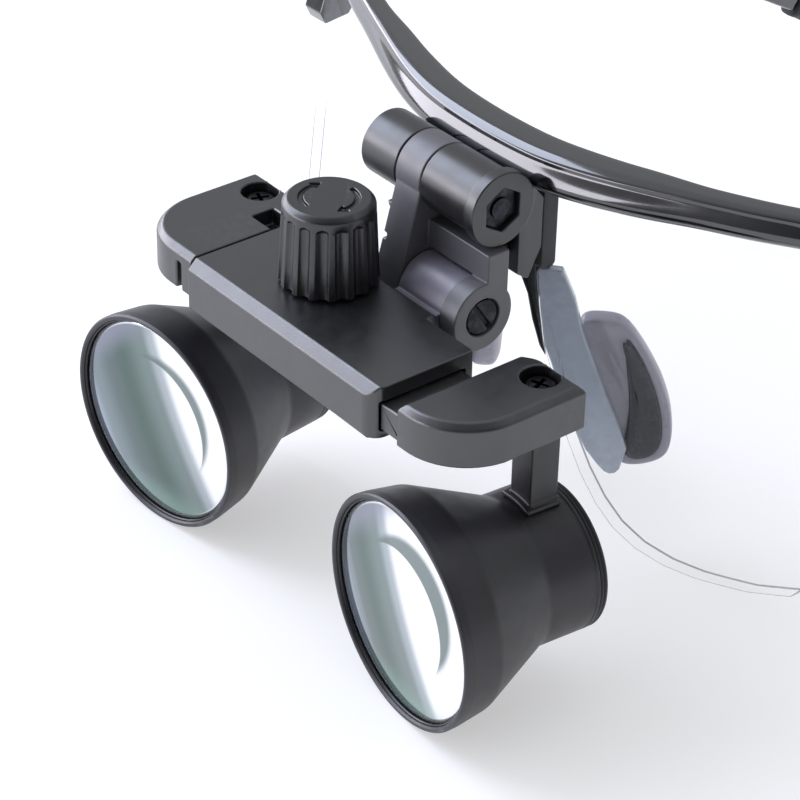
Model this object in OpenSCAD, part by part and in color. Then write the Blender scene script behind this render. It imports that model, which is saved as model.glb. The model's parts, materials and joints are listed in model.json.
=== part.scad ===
// Flip-up binocular loupes on a half-rim wrap frame, drawn in millimetres.
// The cross beam lies along X, the wearer looks along -Y and +Z is up.
// The origin is on the table, midway between the front rims and the temple tips. The object
// stands on the lower front rims of the two telescopes and on the tips of the two temples.
// Every piece is drawn from the middle of the beam's underside, then moved to the table.

/* [Telescopes] */
// distance between the centres of the two front rims
rim_spacing = 56; // [50:0.5:66]
// inward turn of each telescope, in degrees
toe_in = 6.2; // [0:0.1:8]
// rise of each telescope towards the eye, in degrees
barrel_rise = 0.9; // [0:0.1:3]
// radius of the front rim
rim_r = 16.5; // [14:0.1:19]
// radius where the front band meets the cone
knee_r = 15.8; // [13:0.1:18]
// length of the front band
band_len = 6; // [4:0.1:9]
// distance from the front rim to the end of the cone
cone_end = 17; // [13:0.1:21]
// radius of the rear cylinder
rear_r = 10.7; // [9:0.1:13]
// length of the barrel shell
barrel_len = 25; // [22:0.1:32]
// distance from the front rim back to the swivel screw
rim_reach = 21; // [18.5:0.1:22.5]
// wall thickness of the cone
cone_wall = 1.5; // [1.2:0.1:2.5]
// radius of the bore that holds the objective
objective_bore_r = 15.65; // [13:0.05:16]
// depth of the objective's seat behind the rim
objective_seat = 3.4; // [3:0.1:5]
// thickness of the objective's edge
objective_edge = 2; // [1.5:0.1:2.4]
// height of the objective's front curve
objective_front_rise = 1.2; // [0.5:0.1:1.3]
// height of the objective's rear curve
objective_rear_rise = 0.8; // [0.3:0.1:1.5]
// length of the ring that holds the objective
ring_len = 0.8; // [0.6:0.1:1]
// width of the ring's face
ring_face = 0.6; // [0.5:0.05:1.2]
// radius of the bore that holds the eye lens
eye_bore_r = 8.6; // [7:0.1:10]
// distance from the barrel's eye end forward to the eye lens seat
eye_seat = 5.4; // [4.8:0.1:6.5]
// thickness of the eye lens edge
eye_lens_edge = 3; // [2:0.1:4]
// depth of each hollow in the eye lens
eye_lens_hollow = 0.7; // [0.3:0.1:1.2]
// length of the soft ring around the eye end
eye_ring_len = 1.4; // [1:0.1:3]

/* [Telescope posts] */
// width of the post that carries a telescope
post_w = 4.7; // [4:0.1:7]
// depth of the post
post_d = 4.4; // [4:0.1:7]
// thickness of the saddle on the barrel
saddle_t = 0.8; // [0.6:0.1:2]
// length of the saddle along the barrel
saddle_len = 5.8; // [5:0.1:11]
// angle that the saddle covers, in degrees
saddle_sweep = 32; // [28:1:80]
// thickness of the washer under the arm
washer_t = 0.5; // [0.3:0.1:1]
// radius of the washer
washer_r = 2.1; // [1.8:0.05:2.4]

/* [Slide arms] */
// thickness of an arm
arm_t = 6.4; // [5:0.1:8]
// height of the arms' underside above the beam's underside
arm_lift = 1.4; // [0.8:0.1:2.5]
// distance from the swivel screw out to the arm's side
arm_side = 5.4; // [4:0.1:8]
// distance from the swivel screw in to the right arm's inner edge
arm_inner = 6; // [4:0.1:8]
// gap between the closed left arm and the beam's left end
arm_gap = 0.3; // [0.25:0.05:0.5]
// width of the groove in the left arm's front
arm_groove = 1.1; // [0.6:0.1:1.6]
// distance from the swivel screw back to the arm's rear edge
arm_rear = 3.3; // [3:0.1:6]
// depth of an arm from front to rear
arm_depth = 21.9; // [18:0.1:26]
// radius of the arm's front corner
arm_corner_r = 9.7; // [6:0.1:11]
// radius of the arm's inner rear corner
arm_boss_r = 3.4; // [2:0.1:5]
// width of the bevel around the arm's top
arm_bevel = 0.9; // [0.4:0.1:1.5]
// radius of the recess for the swivel screw's head
head_recess_r = 2.65; // [2.4:0.05:3]
// depth of the recess for the swivel screw's head
head_recess_depth = 2.6; // [1.8:0.1:3.5]
// radius of the swivel screw's head
swivel_head_r = 2.2; // [1.8:0.05:2.3]
// radius of the swivel screw's shank
swivel_shank_r = 1.3; // [1:0.05:1.5]

/* [Cross beam] */
// length of the beam
beam_len = 40.8; // [36:0.2:48]
// depth of the beam
beam_depth = 16.8; // [15.5:0.1:20]
// height of the beam
beam_h = 7.8; // [7.2:0.1:10]
// width of the bevel along the beam's front edge
beam_bevel = 1.4; // [0.6:0.1:2]
// radius of the beam's upright right front corner
beam_corner_r = 2.4; // [1:0.1:3.2]
// extra depth of the rear bay behind the knob
bay_depth = 1.9; // [1.8:0.1:3]
// right end of the rear bay, measured from the middle
bay_end = 10.5; // [10:0.1:14]
// thickness of the bottom cover
cover_t = 1.2; // [0.8:0.1:1.6]
// height of the channels for the slides
channel_h = 4.3; // [3.8:0.1:4.8]
// clearance around the slides
slide_gap = 0.15; // [0.1:0.01:0.3]
// length of the pocket at each end of the beam
pocket_len = 3.8; // [3.6:0.1:5]
// radius of the cover screws
cover_screw_r = 0.8; // [0.6:0.05:1]

/* [Knob and rack drive] */
// distance of the knob to the left of the middle
knob_left = 5.2; // [3:0.1:7]
// distance of the knob behind the middle
knob_back = 4.1; // [3.8:0.1:4.4]
// height of the knob
knob_h = 12.2; // [8:0.1:14]
// radius of the knob at its foot
knob_foot_r = 6.9; // [6:0.1:7]
// radius of the knob at its upper edge
knob_top_r = 6.3; // [5:0.1:6.8]
// width of the bevel around the knob's top
knob_bevel = 0.7; // [0.3:0.1:1.2]
// number of grooves around the knob
knob_grooves = 16; // [12:1:24]
// radius of a groove
groove_r = 1; // [0.6:0.05:1.1]
// depth of the arrows in the knob's top
arrow_depth = 0.5; // [0.2:0.05:0.6]
// middle radius of the two arrows
arrow_r = 3.8; // [2.5:0.1:4]
// gap under the knob
knob_gap = 0.35; // [0.2:0.05:0.8]
// module of the rack and pinion teeth
tooth_module = 0.5; // [0.45:0.01:0.52]
// number of pinion teeth
pinion_teeth = 10; // [10:2:10]
// height of a tooth from root to tip
tooth_h = 0.95; // [0.8:0.01:1]
// radius of the pinion's shaft
pinion_shaft_r = 1.7; // [1.2:0.05:1.8]
// how far each arm can move inwards from here
travel_in = 0.2; // [0.1:0.05:0.2]
// how far each arm can move outwards from here
travel_out = 6.5; // [2:0.1:6.6]

/* [Double hinge] */
// radius of the upper hinge barrels
upper_r = 4.8; // [4:0.1:5.2]
// distance of the upper hinge behind the middle of the beam
upper_back = 19.5; // [19:0.1:21]
// height of the upper hinge above the beam's underside
upper_up = 21; // [20:0.1:23]
// radius of the lower hinge barrels
lower_r = 4.6; // [4:0.1:4.8]
// distance of the lower hinge behind the middle of the beam
lower_back = 16; // [15.6:0.1:17]
// height of the lower hinge above the beam's underside
lower_up = 6.2; // [5.8:0.1:7]
// width of the link's leg
leg_w = 5.1; // [4:0.1:6]
// position of the leg's left side
leg_left = -4.6; // [-4.7:0.05:-4.2]
// gap between the hinge barrels
hinge_gap = 0.15; // [0.1:0.01:0.3]
// length of the upper left barrel
left_barrel_len = 7.3; // [5:0.1:9]
// length of the upper right barrel
right_barrel_len = 11.5; // [9:0.1:13]
// radius of the flange on the upper right barrel
flange_r = 5.4; // [5:0.1:5.6]
// thickness of the flange
flange_t = 1.9; // [1:0.1:3]
// width of the beam's knuckle in the lower hinge
knuckle_w = 9; // [7:0.1:10]
// width of the link's right ear
ear_w = 3.2; // [2.5:0.1:4]
// radius of the hinge bolts
bolt_r = 1.5; // [1.2:0.05:1.7]
// clearance around the hinge bolts
bolt_gap = 0.05; // [0.03:0.01:0.08]
// width across the flats of the upper hinge's nut
nut_flats = 5.5; // [5:0.1:5.6]
// depth of the six-sided recess
nut_recess = 2.4; // [2:0.1:3]
// radius of the bolt heads
bolt_head_r = 2.5; // [2.2:0.05:2.7]
// width of the bracket's plate and of the bridge behind it
bridge_w = 18.8; // [16:0.1:19.6]
// distance of each bracket screw from the middle
screw_side = 6; // [5:0.1:6.4]
// height of the bracket screws above the beam's underside
screw_up = 11.5; // [11:0.1:13]
// radius of the bracket screws
bracket_screw_r = 0.9; // [0.7:0.05:1.1]

/* [Spectacle frame] */
// distance from the middle of the beam back to the brow bar
bar_back = 26.5; // [26:0.1:30]
// height of the brow bar's top above the beam's underside
bar_up = 26.9; // [26:0.1:30]
// height of the brow bar's section
bar_h = 4.9; // [4:0.1:5.2]
// depth of the brow bar's section
bar_d = 4.6; // [3.6:0.1:5]
// radius of the brow bar's long edges
bar_edge_r = 0.9; // [0.5:0.1:1.5]
// radius of the brow bar's middle curve
bar_curve_r = 102; // [90:1:140]
// half width of the brow bar's middle curve
bar_half_w = 58; // [56:1:62]
// radius of the brow bar's end curves
bar_end_r = 14; // [12:0.5:18]
// direction of the brow bar at its ends, in degrees
bar_end_turn = 80; // [70:1:88]
// tilt of the brow bar's curve, in degrees
bar_tilt = 8; // [0:0.5:15]
// height of a lens below the brow bar
lens_h = 48; // [38:0.5:48]
// thickness of a lens
lens_t = 1.8; // [1.2:0.1:2.5]
// forward lean of the lenses, in degrees
lens_lean = 6; // [0:0.5:12]
// gap between the bridge's side and the inner edge of a lens
lens_inner = 0.3; // [0.2:0.05:2]
// distance from the end of the brow bar's middle curve in to the outer end of a lens
lens_outer = 1; // [0.5:0.1:4]
// thickness of the bridge under the brow bar
bridge_t = 2.8; // [2.6:0.1:4]
// radius of the bridge's arch
bridge_arch_r = 5.2; // [4:0.1:5.6]
// turn of the nose unit away from the frame's front, in degrees
nose_turn = 45; // [40:1:50]
// thickness of the clear strip that carries a nose pad
strip_t = 1.6; // [1.4:0.1:2.2]
// height of a nose pad
pad_len = 24; // [22:0.5:26]
// width of a nose pad
pad_w = 14.5; // [13:0.5:16]
// thickness of a nose pad in its middle
pad_t = 4; // [3.4:0.1:5]
// depth of the pocket for the dark clip in the pad
clip_pocket = 1.6; // [1.4:0.1:2]

/* [Temples] */
// thickness of a temple
temple_t = 3.2; // [2.4:0.1:4]
// height of a temple at its hinge
temple_front_h = 11; // [9:0.1:14]
// height of a temple along its middle
temple_h = 7; // [5:0.1:9]
// distance from the hinge to the bend behind the ear
temple_straight = 90; // [80:1:100]
// distance from the bend to the tip
temple_tail = 58; // [52:1:66]
// downward slope of the straight part, in degrees
temple_slope = 20; // [18:0.5:22]
// drop of the end block's front toe below its top
block_drop = 17; // [15:0.5:18]
// thickness of the soft sleeve on a temple
sleeve_t = 4.6; // [4:0.1:6]
// radius of the sleeve's end
sleeve_end_r = 3.6; // [3:0.1:5]
// radius of the temple hinge pins
pin_r = 0.9; // [0.7:0.05:1.2]

/* [Hidden] */
$fn = 96;
eps = 0.01;
swivel_x = rim_spacing / 2 + rim_reach * sin(toe_in);
swivel_y = 11;
axis_z = -21.7;
stand_h = rim_reach * sin(barrel_rise) + rim_r * cos(barrel_rise) - axis_z;
eye_seat_z = barrel_len - eye_seat;
lens_clear = 0.1;
notch_w = 4.5;
notch_d = 3.7;
groove_depth = 0.9;
beam_half = beam_len / 2;
beam_front = -beam_depth / 2;
beam_rear = beam_depth / 2 - 0.2;
bay_rear = beam_rear + bay_depth;
channel_top = cover_t + channel_h;
arm_top = arm_lift + arm_t;
slide_bottom = cover_t + slide_gap;
slide_top = channel_top - slide_gap;
pitch_r = tooth_module * pinion_teeth / 2;
tooth_pitch = PI * tooth_module;
pinion_root_r = pitch_r - tooth_h / 2 - 0.08;
pinion_tip_r = pitch_r + tooth_h / 2 - 0.08;
front_line = knob_back - pitch_r;
rear_line = knob_back + pitch_r;
tip_half = 0.18;
root_half = 0.44;
bar_front = 3.3;
bar_rear = 1.15;
rack_base = 1.3;
knuckle_left = leg_left + leg_w + hinge_gap;
knuckle_right = knuckle_left + knuckle_w;
ear_left = knuckle_right + hinge_gap;
ear_right = ear_left + ear_w;
leg_right = leg_left + leg_w;
barrel_left_end = leg_left - hinge_gap - left_barrel_len;
barrel_right_start = leg_right + hinge_gap;
barrel_right_end = barrel_right_start + right_barrel_len;
plate_front = upper_back + upper_r + 0.6;
plate_rear = plate_front + 4.2;
bar_turn = asin(bar_half_w / bar_curve_r);
bar_run = bar_curve_r * (1 - cos(bar_turn));
lens_end = bar_half_w - lens_outer;
lens_start = bridge_w / 2 + lens_inner;
lens_drop = bar_curve_r * sin(lens_lean + bar_tilt) + 1;
end_x = bar_half_w + bar_end_r * (sin(bar_end_turn) - sin(bar_turn));
end_run = bar_run + bar_end_r * (cos(bar_turn) - cos(bar_end_turn));
end_y = bar_back + end_run * cos(bar_tilt);
end_z = bar_up - bar_h / 2 + end_run * sin(bar_tilt);
pin_x = end_x - 2.2;
pin_y = end_y + 4;
temple_top = end_z + 2;
straight_y = pin_y + temple_straight * cos(temple_slope);
straight_z = temple_top - temple_front_h / 2 - temple_straight * sin(temple_slope);
tip_z = sleeve_end_r - stand_h;
tail_slope = asin((straight_z - tip_z) / temple_tail);
tip_y = straight_y + temple_tail * cos(tail_slope);
sleeve_start = 12;
sleeve_core = 1.6;
sleeve_grip = 12;
temple_narrow = 34;
rim_edge = 0.3;
front_lean = sqrt(pow(sin(toe_in), 2) + pow(sin(barrel_rise) * cos(toe_in), 2));
front_y = swivel_y - rim_reach * cos(toe_in) * cos(barrel_rise) - (rim_r - rim_edge) * front_lean;
origin_back = (front_y + tip_y + sleeve_end_r) / 2;
knuckle_r = 2;
nose_x = 8;
nose_y = plate_rear + 2.3;
bridge_bottom = 7;
lug_t = 1.4;

// moves a piece from the beam's own place to its place over the table
module raised() {
    translate([0, -origin_back, stand_h]) children();
}

// the same, and mirrored for the left side when side is -1
module on_side(side) {
    raised() mirror([side < 0 ? 1 : 0, 0, 0]) children();
}

// the telescope's own frame: Z runs from the front rim to the eye, -Y is up
module in_telescope() {
    translate([swivel_x, swivel_y, axis_z])
        rotate([0, 0, -toe_in])
            rotate([barrel_rise, 0, 0])
                rotate([-90, 0, 0])
                    translate([0, 0, -rim_reach]) children();
}

// a bar along X
module bar_x(r, x0, x1, y, z, sides = 96) {
    translate([x0, y, z]) rotate([0, 90, 0]) cylinder(r = r, h = x1 - x0, $fn = sides);
}

// points along a shallow arc of the given half width and rise, from the axis outwards
function arc_out(half, rise, z, n) =
    let (r = (half * half + rise * rise) / (2 * rise))
    [for (i = [0 : n]) [half * i / n, z + r - sqrt(r * r - half * half * i * i / n / n)]];

// the hollow bell of one telescope
module barrel_shape() {
    in_telescope() rotate_extrude() polygon([
        [objective_bore_r, 0], [rim_r - rim_edge, 0], [rim_r, rim_edge],
        [rim_r - 0.15, 1.4], [knee_r, band_len], [rear_r, cone_end], [rear_r, barrel_len],
        [eye_bore_r, barrel_len], [eye_bore_r, eye_seat_z], [eye_bore_r - 1, eye_seat_z],
        [eye_bore_r - 1, cone_end - 1], [knee_r - cone_wall - 0.7, band_len + 1.4],
        [objective_bore_r - 1.4, objective_seat], [objective_bore_r, objective_seat]
    ]);
}

// a lens with a convex front and rear
module objective_shape() {
    r = objective_bore_r - 0.05;
    z0 = objective_seat - objective_edge;
    front = arc_out(r, objective_front_rise, z0 - objective_front_rise, 16);
    rear = arc_out(r - 1.45, objective_rear_rise, 0, 10);
    in_telescope() rotate_extrude() polygon(concat(front, [[r, objective_seat]],
        [for (i = [10 : -1 : 0]) [rear[i][0], objective_seat + objective_rear_rise - rear[i][1]]]));
}

// the thin ring screwed in before the objective
module objective_ring_shape() {
    z1 = objective_seat - objective_edge - lens_clear;
    in_telescope() rotate_extrude() polygon([
        [objective_bore_r - ring_face, z1 - ring_len + 0.25],
        [objective_bore_r - ring_face + 0.25, z1 - ring_len],
        [objective_bore_r - 0.05, z1 - ring_len], [objective_bore_r - 0.05, z1],
        [objective_bore_r - ring_face + 0.1, z1], [objective_bore_r - ring_face, z1 - 0.1]
    ]);
}

// a lens that is hollow on both faces
module eye_lens_shape() {
    r = eye_bore_r - 0.05;
    z1 = eye_seat_z + eye_lens_edge;
    curve = arc_out(r - 1.2, eye_lens_hollow, 0, 10);
    in_telescope() rotate_extrude() polygon(concat(
        [for (i = [0 : 10]) [curve[i][0], eye_seat_z + eye_lens_hollow - curve[i][1]]],
        [[r, eye_seat_z], [r, z1]],
        [for (i = [10 : -1 : 0]) [curve[i][0], z1 - eye_lens_hollow + curve[i][1]]]));
}

// the ring that holds the eye lens in its bore
module eye_clamp_shape() {
    z0 = eye_seat_z + eye_lens_edge;
    in_telescope() rotate_extrude() polygon([
        [eye_bore_r - 1, z0], [eye_bore_r - 0.05, z0],
        [eye_bore_r - 0.05, barrel_len - 0.6], [eye_bore_r - 1, barrel_len - 0.6]
    ]);
}

// the soft ring around the eye end
module eye_ring_shape() {
    z0 = barrel_len - 0.6;
    z1 = barrel_len + eye_ring_len;
    in_telescope() rotate_extrude() polygon([
        [eye_bore_r - 1, z0], [eye_bore_r, z0], [eye_bore_r, barrel_len],
        [rear_r, barrel_len], [rear_r, z1 - 0.4], [rear_r - 0.4, z1],
        [eye_bore_r - 0.4, z1], [eye_bore_r - 1, z1 - 0.6]
    ]);
}

// the upright post and its saddle on the barrel
module post_shape() {
    difference() {
        union() {
            translate([swivel_x, swivel_y, 0]) rotate([0, 0, -toe_in])
                translate([-post_w / 2, -post_d / 2, axis_z + rear_r - 1])
                    cube([post_w, post_d, arm_lift - washer_t - axis_z - rear_r + 1]);
            in_telescope() translate([0, 0, rim_reach - saddle_len / 2])
                rotate([0, 0, -90 - saddle_sweep / 2])
                    rotate_extrude(angle = saddle_sweep)
                        translate([rear_r, 0]) square([saddle_t, saddle_len - 0.4]);
        }
        in_telescope() translate([0, 0, 5]) cylinder(r = rear_r, h = barrel_len, $fn = 96);
        translate([swivel_x, swivel_y, -6]) cylinder(r = swivel_shank_r, h = 12);
    }
}

// the flat washer between arm and post
module washer_shape() {
    translate([swivel_x, swivel_y, arm_lift - washer_t]) difference() {
        cylinder(r = washer_r, h = washer_t - 0.05);
        translate([0, 0, -1]) cylinder(r = swivel_shank_r, h = 3);
    }
}

// the screw that the telescope swivels on, with a crossed drive
module swivel_screw_shape() {
    head_z = arm_top - head_recess_depth + 0.05;
    difference() {
        union() {
            translate([swivel_x, swivel_y, -6 + eps]) cylinder(r = swivel_shank_r, h = head_z + 6);
            translate([swivel_x, swivel_y, head_z]) cylinder(r = swivel_head_r, h = 1.1);
            translate([swivel_x, swivel_y, head_z + 1.1])
                cylinder(r1 = swivel_head_r, r2 = swivel_head_r - 0.5, h = 0.4);
        }
        for (a = [20, 110])
            translate([swivel_x, swivel_y, head_z + 1.2]) rotate([0, 0, a])
                cube([2.6, 0.55, 1.6], center = true);
    }
}

// where an arm's inner edge lies, measured outwards from the middle
function arm_edge(side) = side > 0 ? swivel_x - arm_inner : beam_half + arm_gap;

// the arm's outline seen from above
module arm_outline(side, inset) {
    x0 = arm_edge(side) + (side > 0 ? inset : 0);
    x1 = swivel_x + arm_side - inset;
    y1 = swivel_y + arm_rear - inset;
    y0 = swivel_y + arm_rear - arm_depth + inset;
    corner = arm_corner_r - inset;
    boss = arm_boss_r - inset;
    intersection() {
        hull() {
            translate([x0, y0]) square([1, 1]);
            translate([x1 - corner, y0 + corner]) circle(r = corner);
            translate([x1 - 1, y1 - 1]) square([1, 1]);
            translate([x0 + boss, y1 - boss]) circle(r = boss);
        }
        translate([x0, y0]) square([x1 - x0, y1 - y0]);
    }
}

// one slide arm with its collar, tongue and swivel bore
module arm_shape(side) {
    inner = arm_edge(side);
    collar_end = beam_half - 0.4;
    collar_rear = side > 0 ? beam_rear - 1.5 : bay_rear - 1.5;
    bar_y0 = side > 0 ? front_line - tooth_h / 2 - rack_base - bar_front + 0.6 : 5.2;
    bar_y1 = side > 0 ? front_line - tooth_h / 2 - rack_base : rear_line + tooth_h / 2;
    full_y1 = side > 0 ? front_line - tooth_h / 2 : rear_line + tooth_h / 2 + rack_base;
    reach = side > 0 ? -(knob_left + 1.6 + travel_out) : knob_left + 4.4 + travel_in;
    rack_end = side > 0 ? 3 : 15;
    difference() {
        union() {
            hull() {
                translate([0, 0, arm_lift]) linear_extrude(height = arm_t - arm_bevel)
                    arm_outline(side, 0, $fn = 64);
                translate([0, 0, arm_lift]) linear_extrude(height = arm_t)
                    arm_outline(side, arm_bevel, $fn = 64);
            }
            translate([collar_end, beam_front + 1.4 + slide_gap, slide_bottom])
                cube([inner - collar_end + 0.5, collar_rear - beam_front - 1.4 - 2 * slide_gap,
                    slide_top - slide_bottom]);
            translate([rack_end, bar_y0, slide_bottom])
                cube([collar_end - rack_end + 0.5, full_y1 - bar_y0, slide_top - slide_bottom]);
            translate([reach, bar_y0, slide_bottom])
                cube([rack_end - reach + 0.5, bar_y1 - bar_y0, slide_top - slide_bottom]);
        }
        translate([swivel_x, swivel_y, arm_lift - 1])
            cylinder(r = swivel_shank_r + bolt_gap, h = arm_t + 2);
        translate([swivel_x, swivel_y, arm_top - head_recess_depth])
            cylinder(r = head_recess_r, h = head_recess_depth + 1);
        if (side < 0) {
            translate([inner - 1, 5.9, slide_top]) cube([notch_w + 1, notch_d, arm_t]);
            translate([swivel_x - arm_inner - arm_groove, beam_front - 1, arm_lift - 1])
                cube([arm_groove, groove_depth + 1.8, arm_t - arm_bevel - 0.2]);
        }
    }
}

// the teeth of a rack in plan, pointing along +Y from their root line
module rack_teeth(count) {
    for (i = [0 : count - 1])
        translate([i * tooth_pitch, 0]) polygon([
            [-root_half, -0.1], [root_half, -0.1], [root_half, 0],
            [tip_half, tooth_h - 0.05], [-tip_half, tooth_h - 0.05], [-root_half, 0]
        ]);
}

// the right arm's rack, in front of the pinion
module rack_front_shape() {
    x0 = -(knob_left + 1.6 + travel_out);
    x1 = 3;
    root = front_line - tooth_h / 2;
    count = floor((x1 - x0) / tooth_pitch);
    first = -knob_left + (ceil((x0 + knob_left) / tooth_pitch) + 0.5) * tooth_pitch;
    translate([0, 0, slide_bottom + 0.1]) linear_extrude(height = slide_top - slide_bottom - 0.2) union() {
        translate([x0, root - rack_base]) square([x1 - x0, rack_base]);
        translate([first, root]) rack_teeth(count - 1);
    }
}

// the left arm's rack, behind the pinion, drawn mirrored like its arm
module rack_rear_shape() {
    x0 = knob_left - 1.6 - travel_out;
    x1 = 15;
    root = rear_line + tooth_h / 2;
    count = floor((knob_left + 3.6 + travel_in - x0) / tooth_pitch);
    first = knob_left + (ceil((x0 - knob_left) / tooth_pitch) + 0.5) * tooth_pitch;
    translate([0, 0, slide_bottom + 0.1]) linear_extrude(height = slide_top - slide_bottom - 0.2) union() {
        translate([x0, root]) square([x1 - x0, rack_base]);
        translate([first, root]) mirror([0, 1]) rack_teeth(count);
    }
}

// the pinion and its shaft
module pinion_shape() {
    translate([-knob_left, knob_back, 0]) {
        difference() {
            cylinder(r = pinion_shaft_r - 0.7, h = cover_t + 1);
            translate([0, 0, -eps]) cylinder(r = 2, h = 0.3);
        }
        translate([0, 0, slide_bottom + 0.05]) linear_extrude(height = slide_top - slide_bottom - 0.1)
            union() {
                circle(r = pinion_root_r);
                for (i = [0 : pinion_teeth - 1])
                    rotate([0, 0, 90 + i * 360 / pinion_teeth]) polygon([
                        [pinion_root_r - 0.3, -root_half], [pinion_root_r, -root_half],
                        [pinion_tip_r, -tip_half], [pinion_tip_r, tip_half],
                        [pinion_root_r, root_half], [pinion_root_r - 0.3, root_half]
                    ]);
            }
        translate([0, 0, slide_top - 0.2]) cylinder(r = pinion_shaft_r, h = beam_h - slide_top + 8);
    }
}

// the grooved knob with two arrows in its top
module knob_shape() {
    top_z = beam_h + knob_gap + knob_h;
    translate([-knob_left, knob_back, beam_h + knob_gap]) difference() {
        union() {
            cylinder(r1 = knob_foot_r, r2 = knob_top_r, h = knob_h - knob_bevel);
            translate([0, 0, knob_h - knob_bevel])
                cylinder(r1 = knob_top_r, r2 = knob_top_r - knob_bevel, h = knob_bevel);
        }
        translate([0, 0, -1]) cylinder(r = pinion_shaft_r, h = beam_h - slide_top + 7.5);
        for (i = [0 : knob_grooves - 1])
            rotate([0, 0, i * 360 / knob_grooves])
                translate([knob_foot_r + groove_r * 0.45, 0, -0.5])
                    rotate([0, -atan((knob_foot_r - knob_top_r) / knob_h), 0]) {
                        cylinder(r = groove_r, h = knob_h - 1.6, $fn = 24);
                        translate([0, 0, knob_h - 1.6])
                            cylinder(r1 = groove_r, r2 = groove_r * 0.3, h = 0.6, $fn = 24);
                    }
        for (a = [0, 180]) rotate([0, 0, a + 92]) mirror([0, 1, 0])
            translate([0, 0, knob_h - arrow_depth]) linear_extrude(height = 1) arrow_outline();
    }
}

// one curved arrow
module arrow_outline() {
    n = 12;
    sweep = 95;
    polygon(concat(
        [for (i = [0 : n]) (arrow_r + 0.35) * [cos(i * sweep / n), sin(i * sweep / n)]],
        [for (i = [n : -1 : 0]) (arrow_r - 0.35) * [cos(i * sweep / n), sin(i * sweep / n)]]
    ));
    rotate([0, 0, sweep]) translate([arrow_r, 0])
        polygon([[-0.95, -0.1], [0.95, -0.1], [0, 1.3]]);
}

// the beam's outline seen from above
module beam_plan() {
    r = beam_corner_r;
    translate([-beam_half, beam_front + r]) square([beam_len, beam_rear - beam_front - r]);
    translate([-beam_half, beam_front]) square([beam_len - r, r + 1]);
    translate([beam_half - r, beam_front + r]) circle(r = r);
    translate([-beam_half, beam_rear - 1]) square([beam_half + bay_end, bay_depth + 1]);
}

// the milled hollow for the two slides and the pinion, seen from above
module channel_plan() {
    y_front0 = front_line - tooth_h / 2 - rack_base - bar_front + 0.6 - slide_gap;
    y_front1 = front_line + tooth_h / 2 + 0.12;
    y_rear0 = rear_line - tooth_h / 2 - 0.12;
    y_rear1 = rear_line + tooth_h / 2 + rack_base + slide_gap;
    translate([-(knob_left + 1.6 + travel_out + travel_in + 0.3), y_front0])
        square([beam_half + knob_left + 1.6 + travel_out + travel_in + 1, y_front1 - y_front0]);
    translate([-beam_half - 1, y_rear0])
        square([beam_half + 1 - knob_left + 1.6 + travel_out + travel_in + 0.3, y_rear1 - y_rear0]);
    translate([-beam_half - 1, 5.2 - slide_gap])
        square([beam_half + 1 - knob_left - 4.4 + 0.3, y_rear1 - 5.2 + slide_gap]);
    translate([-knob_left, knob_back]) circle(r = pinion_tip_r + 0.2);
    translate([-beam_half - 1, beam_front + 1.4])
        square([pocket_len + 1, bay_rear - 1.4 - beam_front - 1.4]);
    translate([beam_half - pocket_len, beam_front + 1.4])
        square([pocket_len + 1, beam_rear - 1.4 - beam_front - 1.4]);
}

// places for the cover screws
module at_cover_screws() {
    for (p = [[-13, -5.3], [0, -5.3], [13, -5.3], [8.4, 4.4], [14.5, 4.4]])
        translate([p[0], p[1], 0]) children();
}

// the beam's shell
module beam_housing_shape() {
    difference() {
        intersection() {
            linear_extrude(height = beam_h) beam_plan();
            translate([-beam_half - 1, 0, 0]) rotate([90, 0, 90]) linear_extrude(height = beam_len + 2)
                polygon([
                    [beam_front, 0.4], [beam_front + 0.4, 0], [bay_rear, 0], [bay_rear, beam_h - 0.5],
                    [bay_rear - 0.5, beam_h], [beam_front + beam_bevel, beam_h],
                    [beam_front, beam_h - beam_bevel]
                ]);
        }
        translate([-beam_half + 1.2, beam_front + 1.1, -1])
            cube([beam_len - 2.4, beam_rear - beam_front - 2.2, cover_t + 1]);
        translate([-beam_half + 1.2, beam_rear - 2, -1])
            cube([beam_half - 1.2 + 8, bay_depth + 0.9, cover_t + 1]);
        translate([0, 0, cover_t - eps]) linear_extrude(height = channel_h + eps) channel_plan();
        translate([-knob_left, knob_back, 0]) cylinder(r = pinion_shaft_r + bolt_gap, h = beam_h + 1);
        at_cover_screws() translate([0, 0, cover_t - 1]) cylinder(r = cover_screw_r, h = 4);
    }
}

// the plate that closes the beam from below
module beam_cover_shape() {
    difference() {
        union() {
            translate([-beam_half + 1.3, beam_front + 1.2, 0])
                cube([beam_len - 2.6, beam_rear - beam_front - 2.4, cover_t]);
            translate([-beam_half + 1.3, beam_rear - 2, 0])
                cube([beam_half - 1.3 + 7.9, bay_depth + 0.8, cover_t]);
        }
        translate([-knob_left, knob_back, -1])
            cylinder(r = pinion_shaft_r - 0.7 + bolt_gap, h = 4);
        at_cover_screws() {
            translate([0, 0, -1]) cylinder(r = cover_screw_r, h = 4);
            translate([0, 0, -eps]) cylinder(r1 = 1.5, r2 = cover_screw_r, h = 0.7);
        }
    }
}

// the countersunk screws of the cover
module cover_screws_shape() {
    at_cover_screws() difference() {
        union() {
            cylinder(r = cover_screw_r, h = cover_t + 2.4);
            cylinder(r1 = 1.48, r2 = cover_screw_r, h = 0.68);
        }
        for (a = [0, 90]) rotate([0, 0, a]) cube([1.8, 0.4, 0.6], center = true);
    }
}

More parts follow.
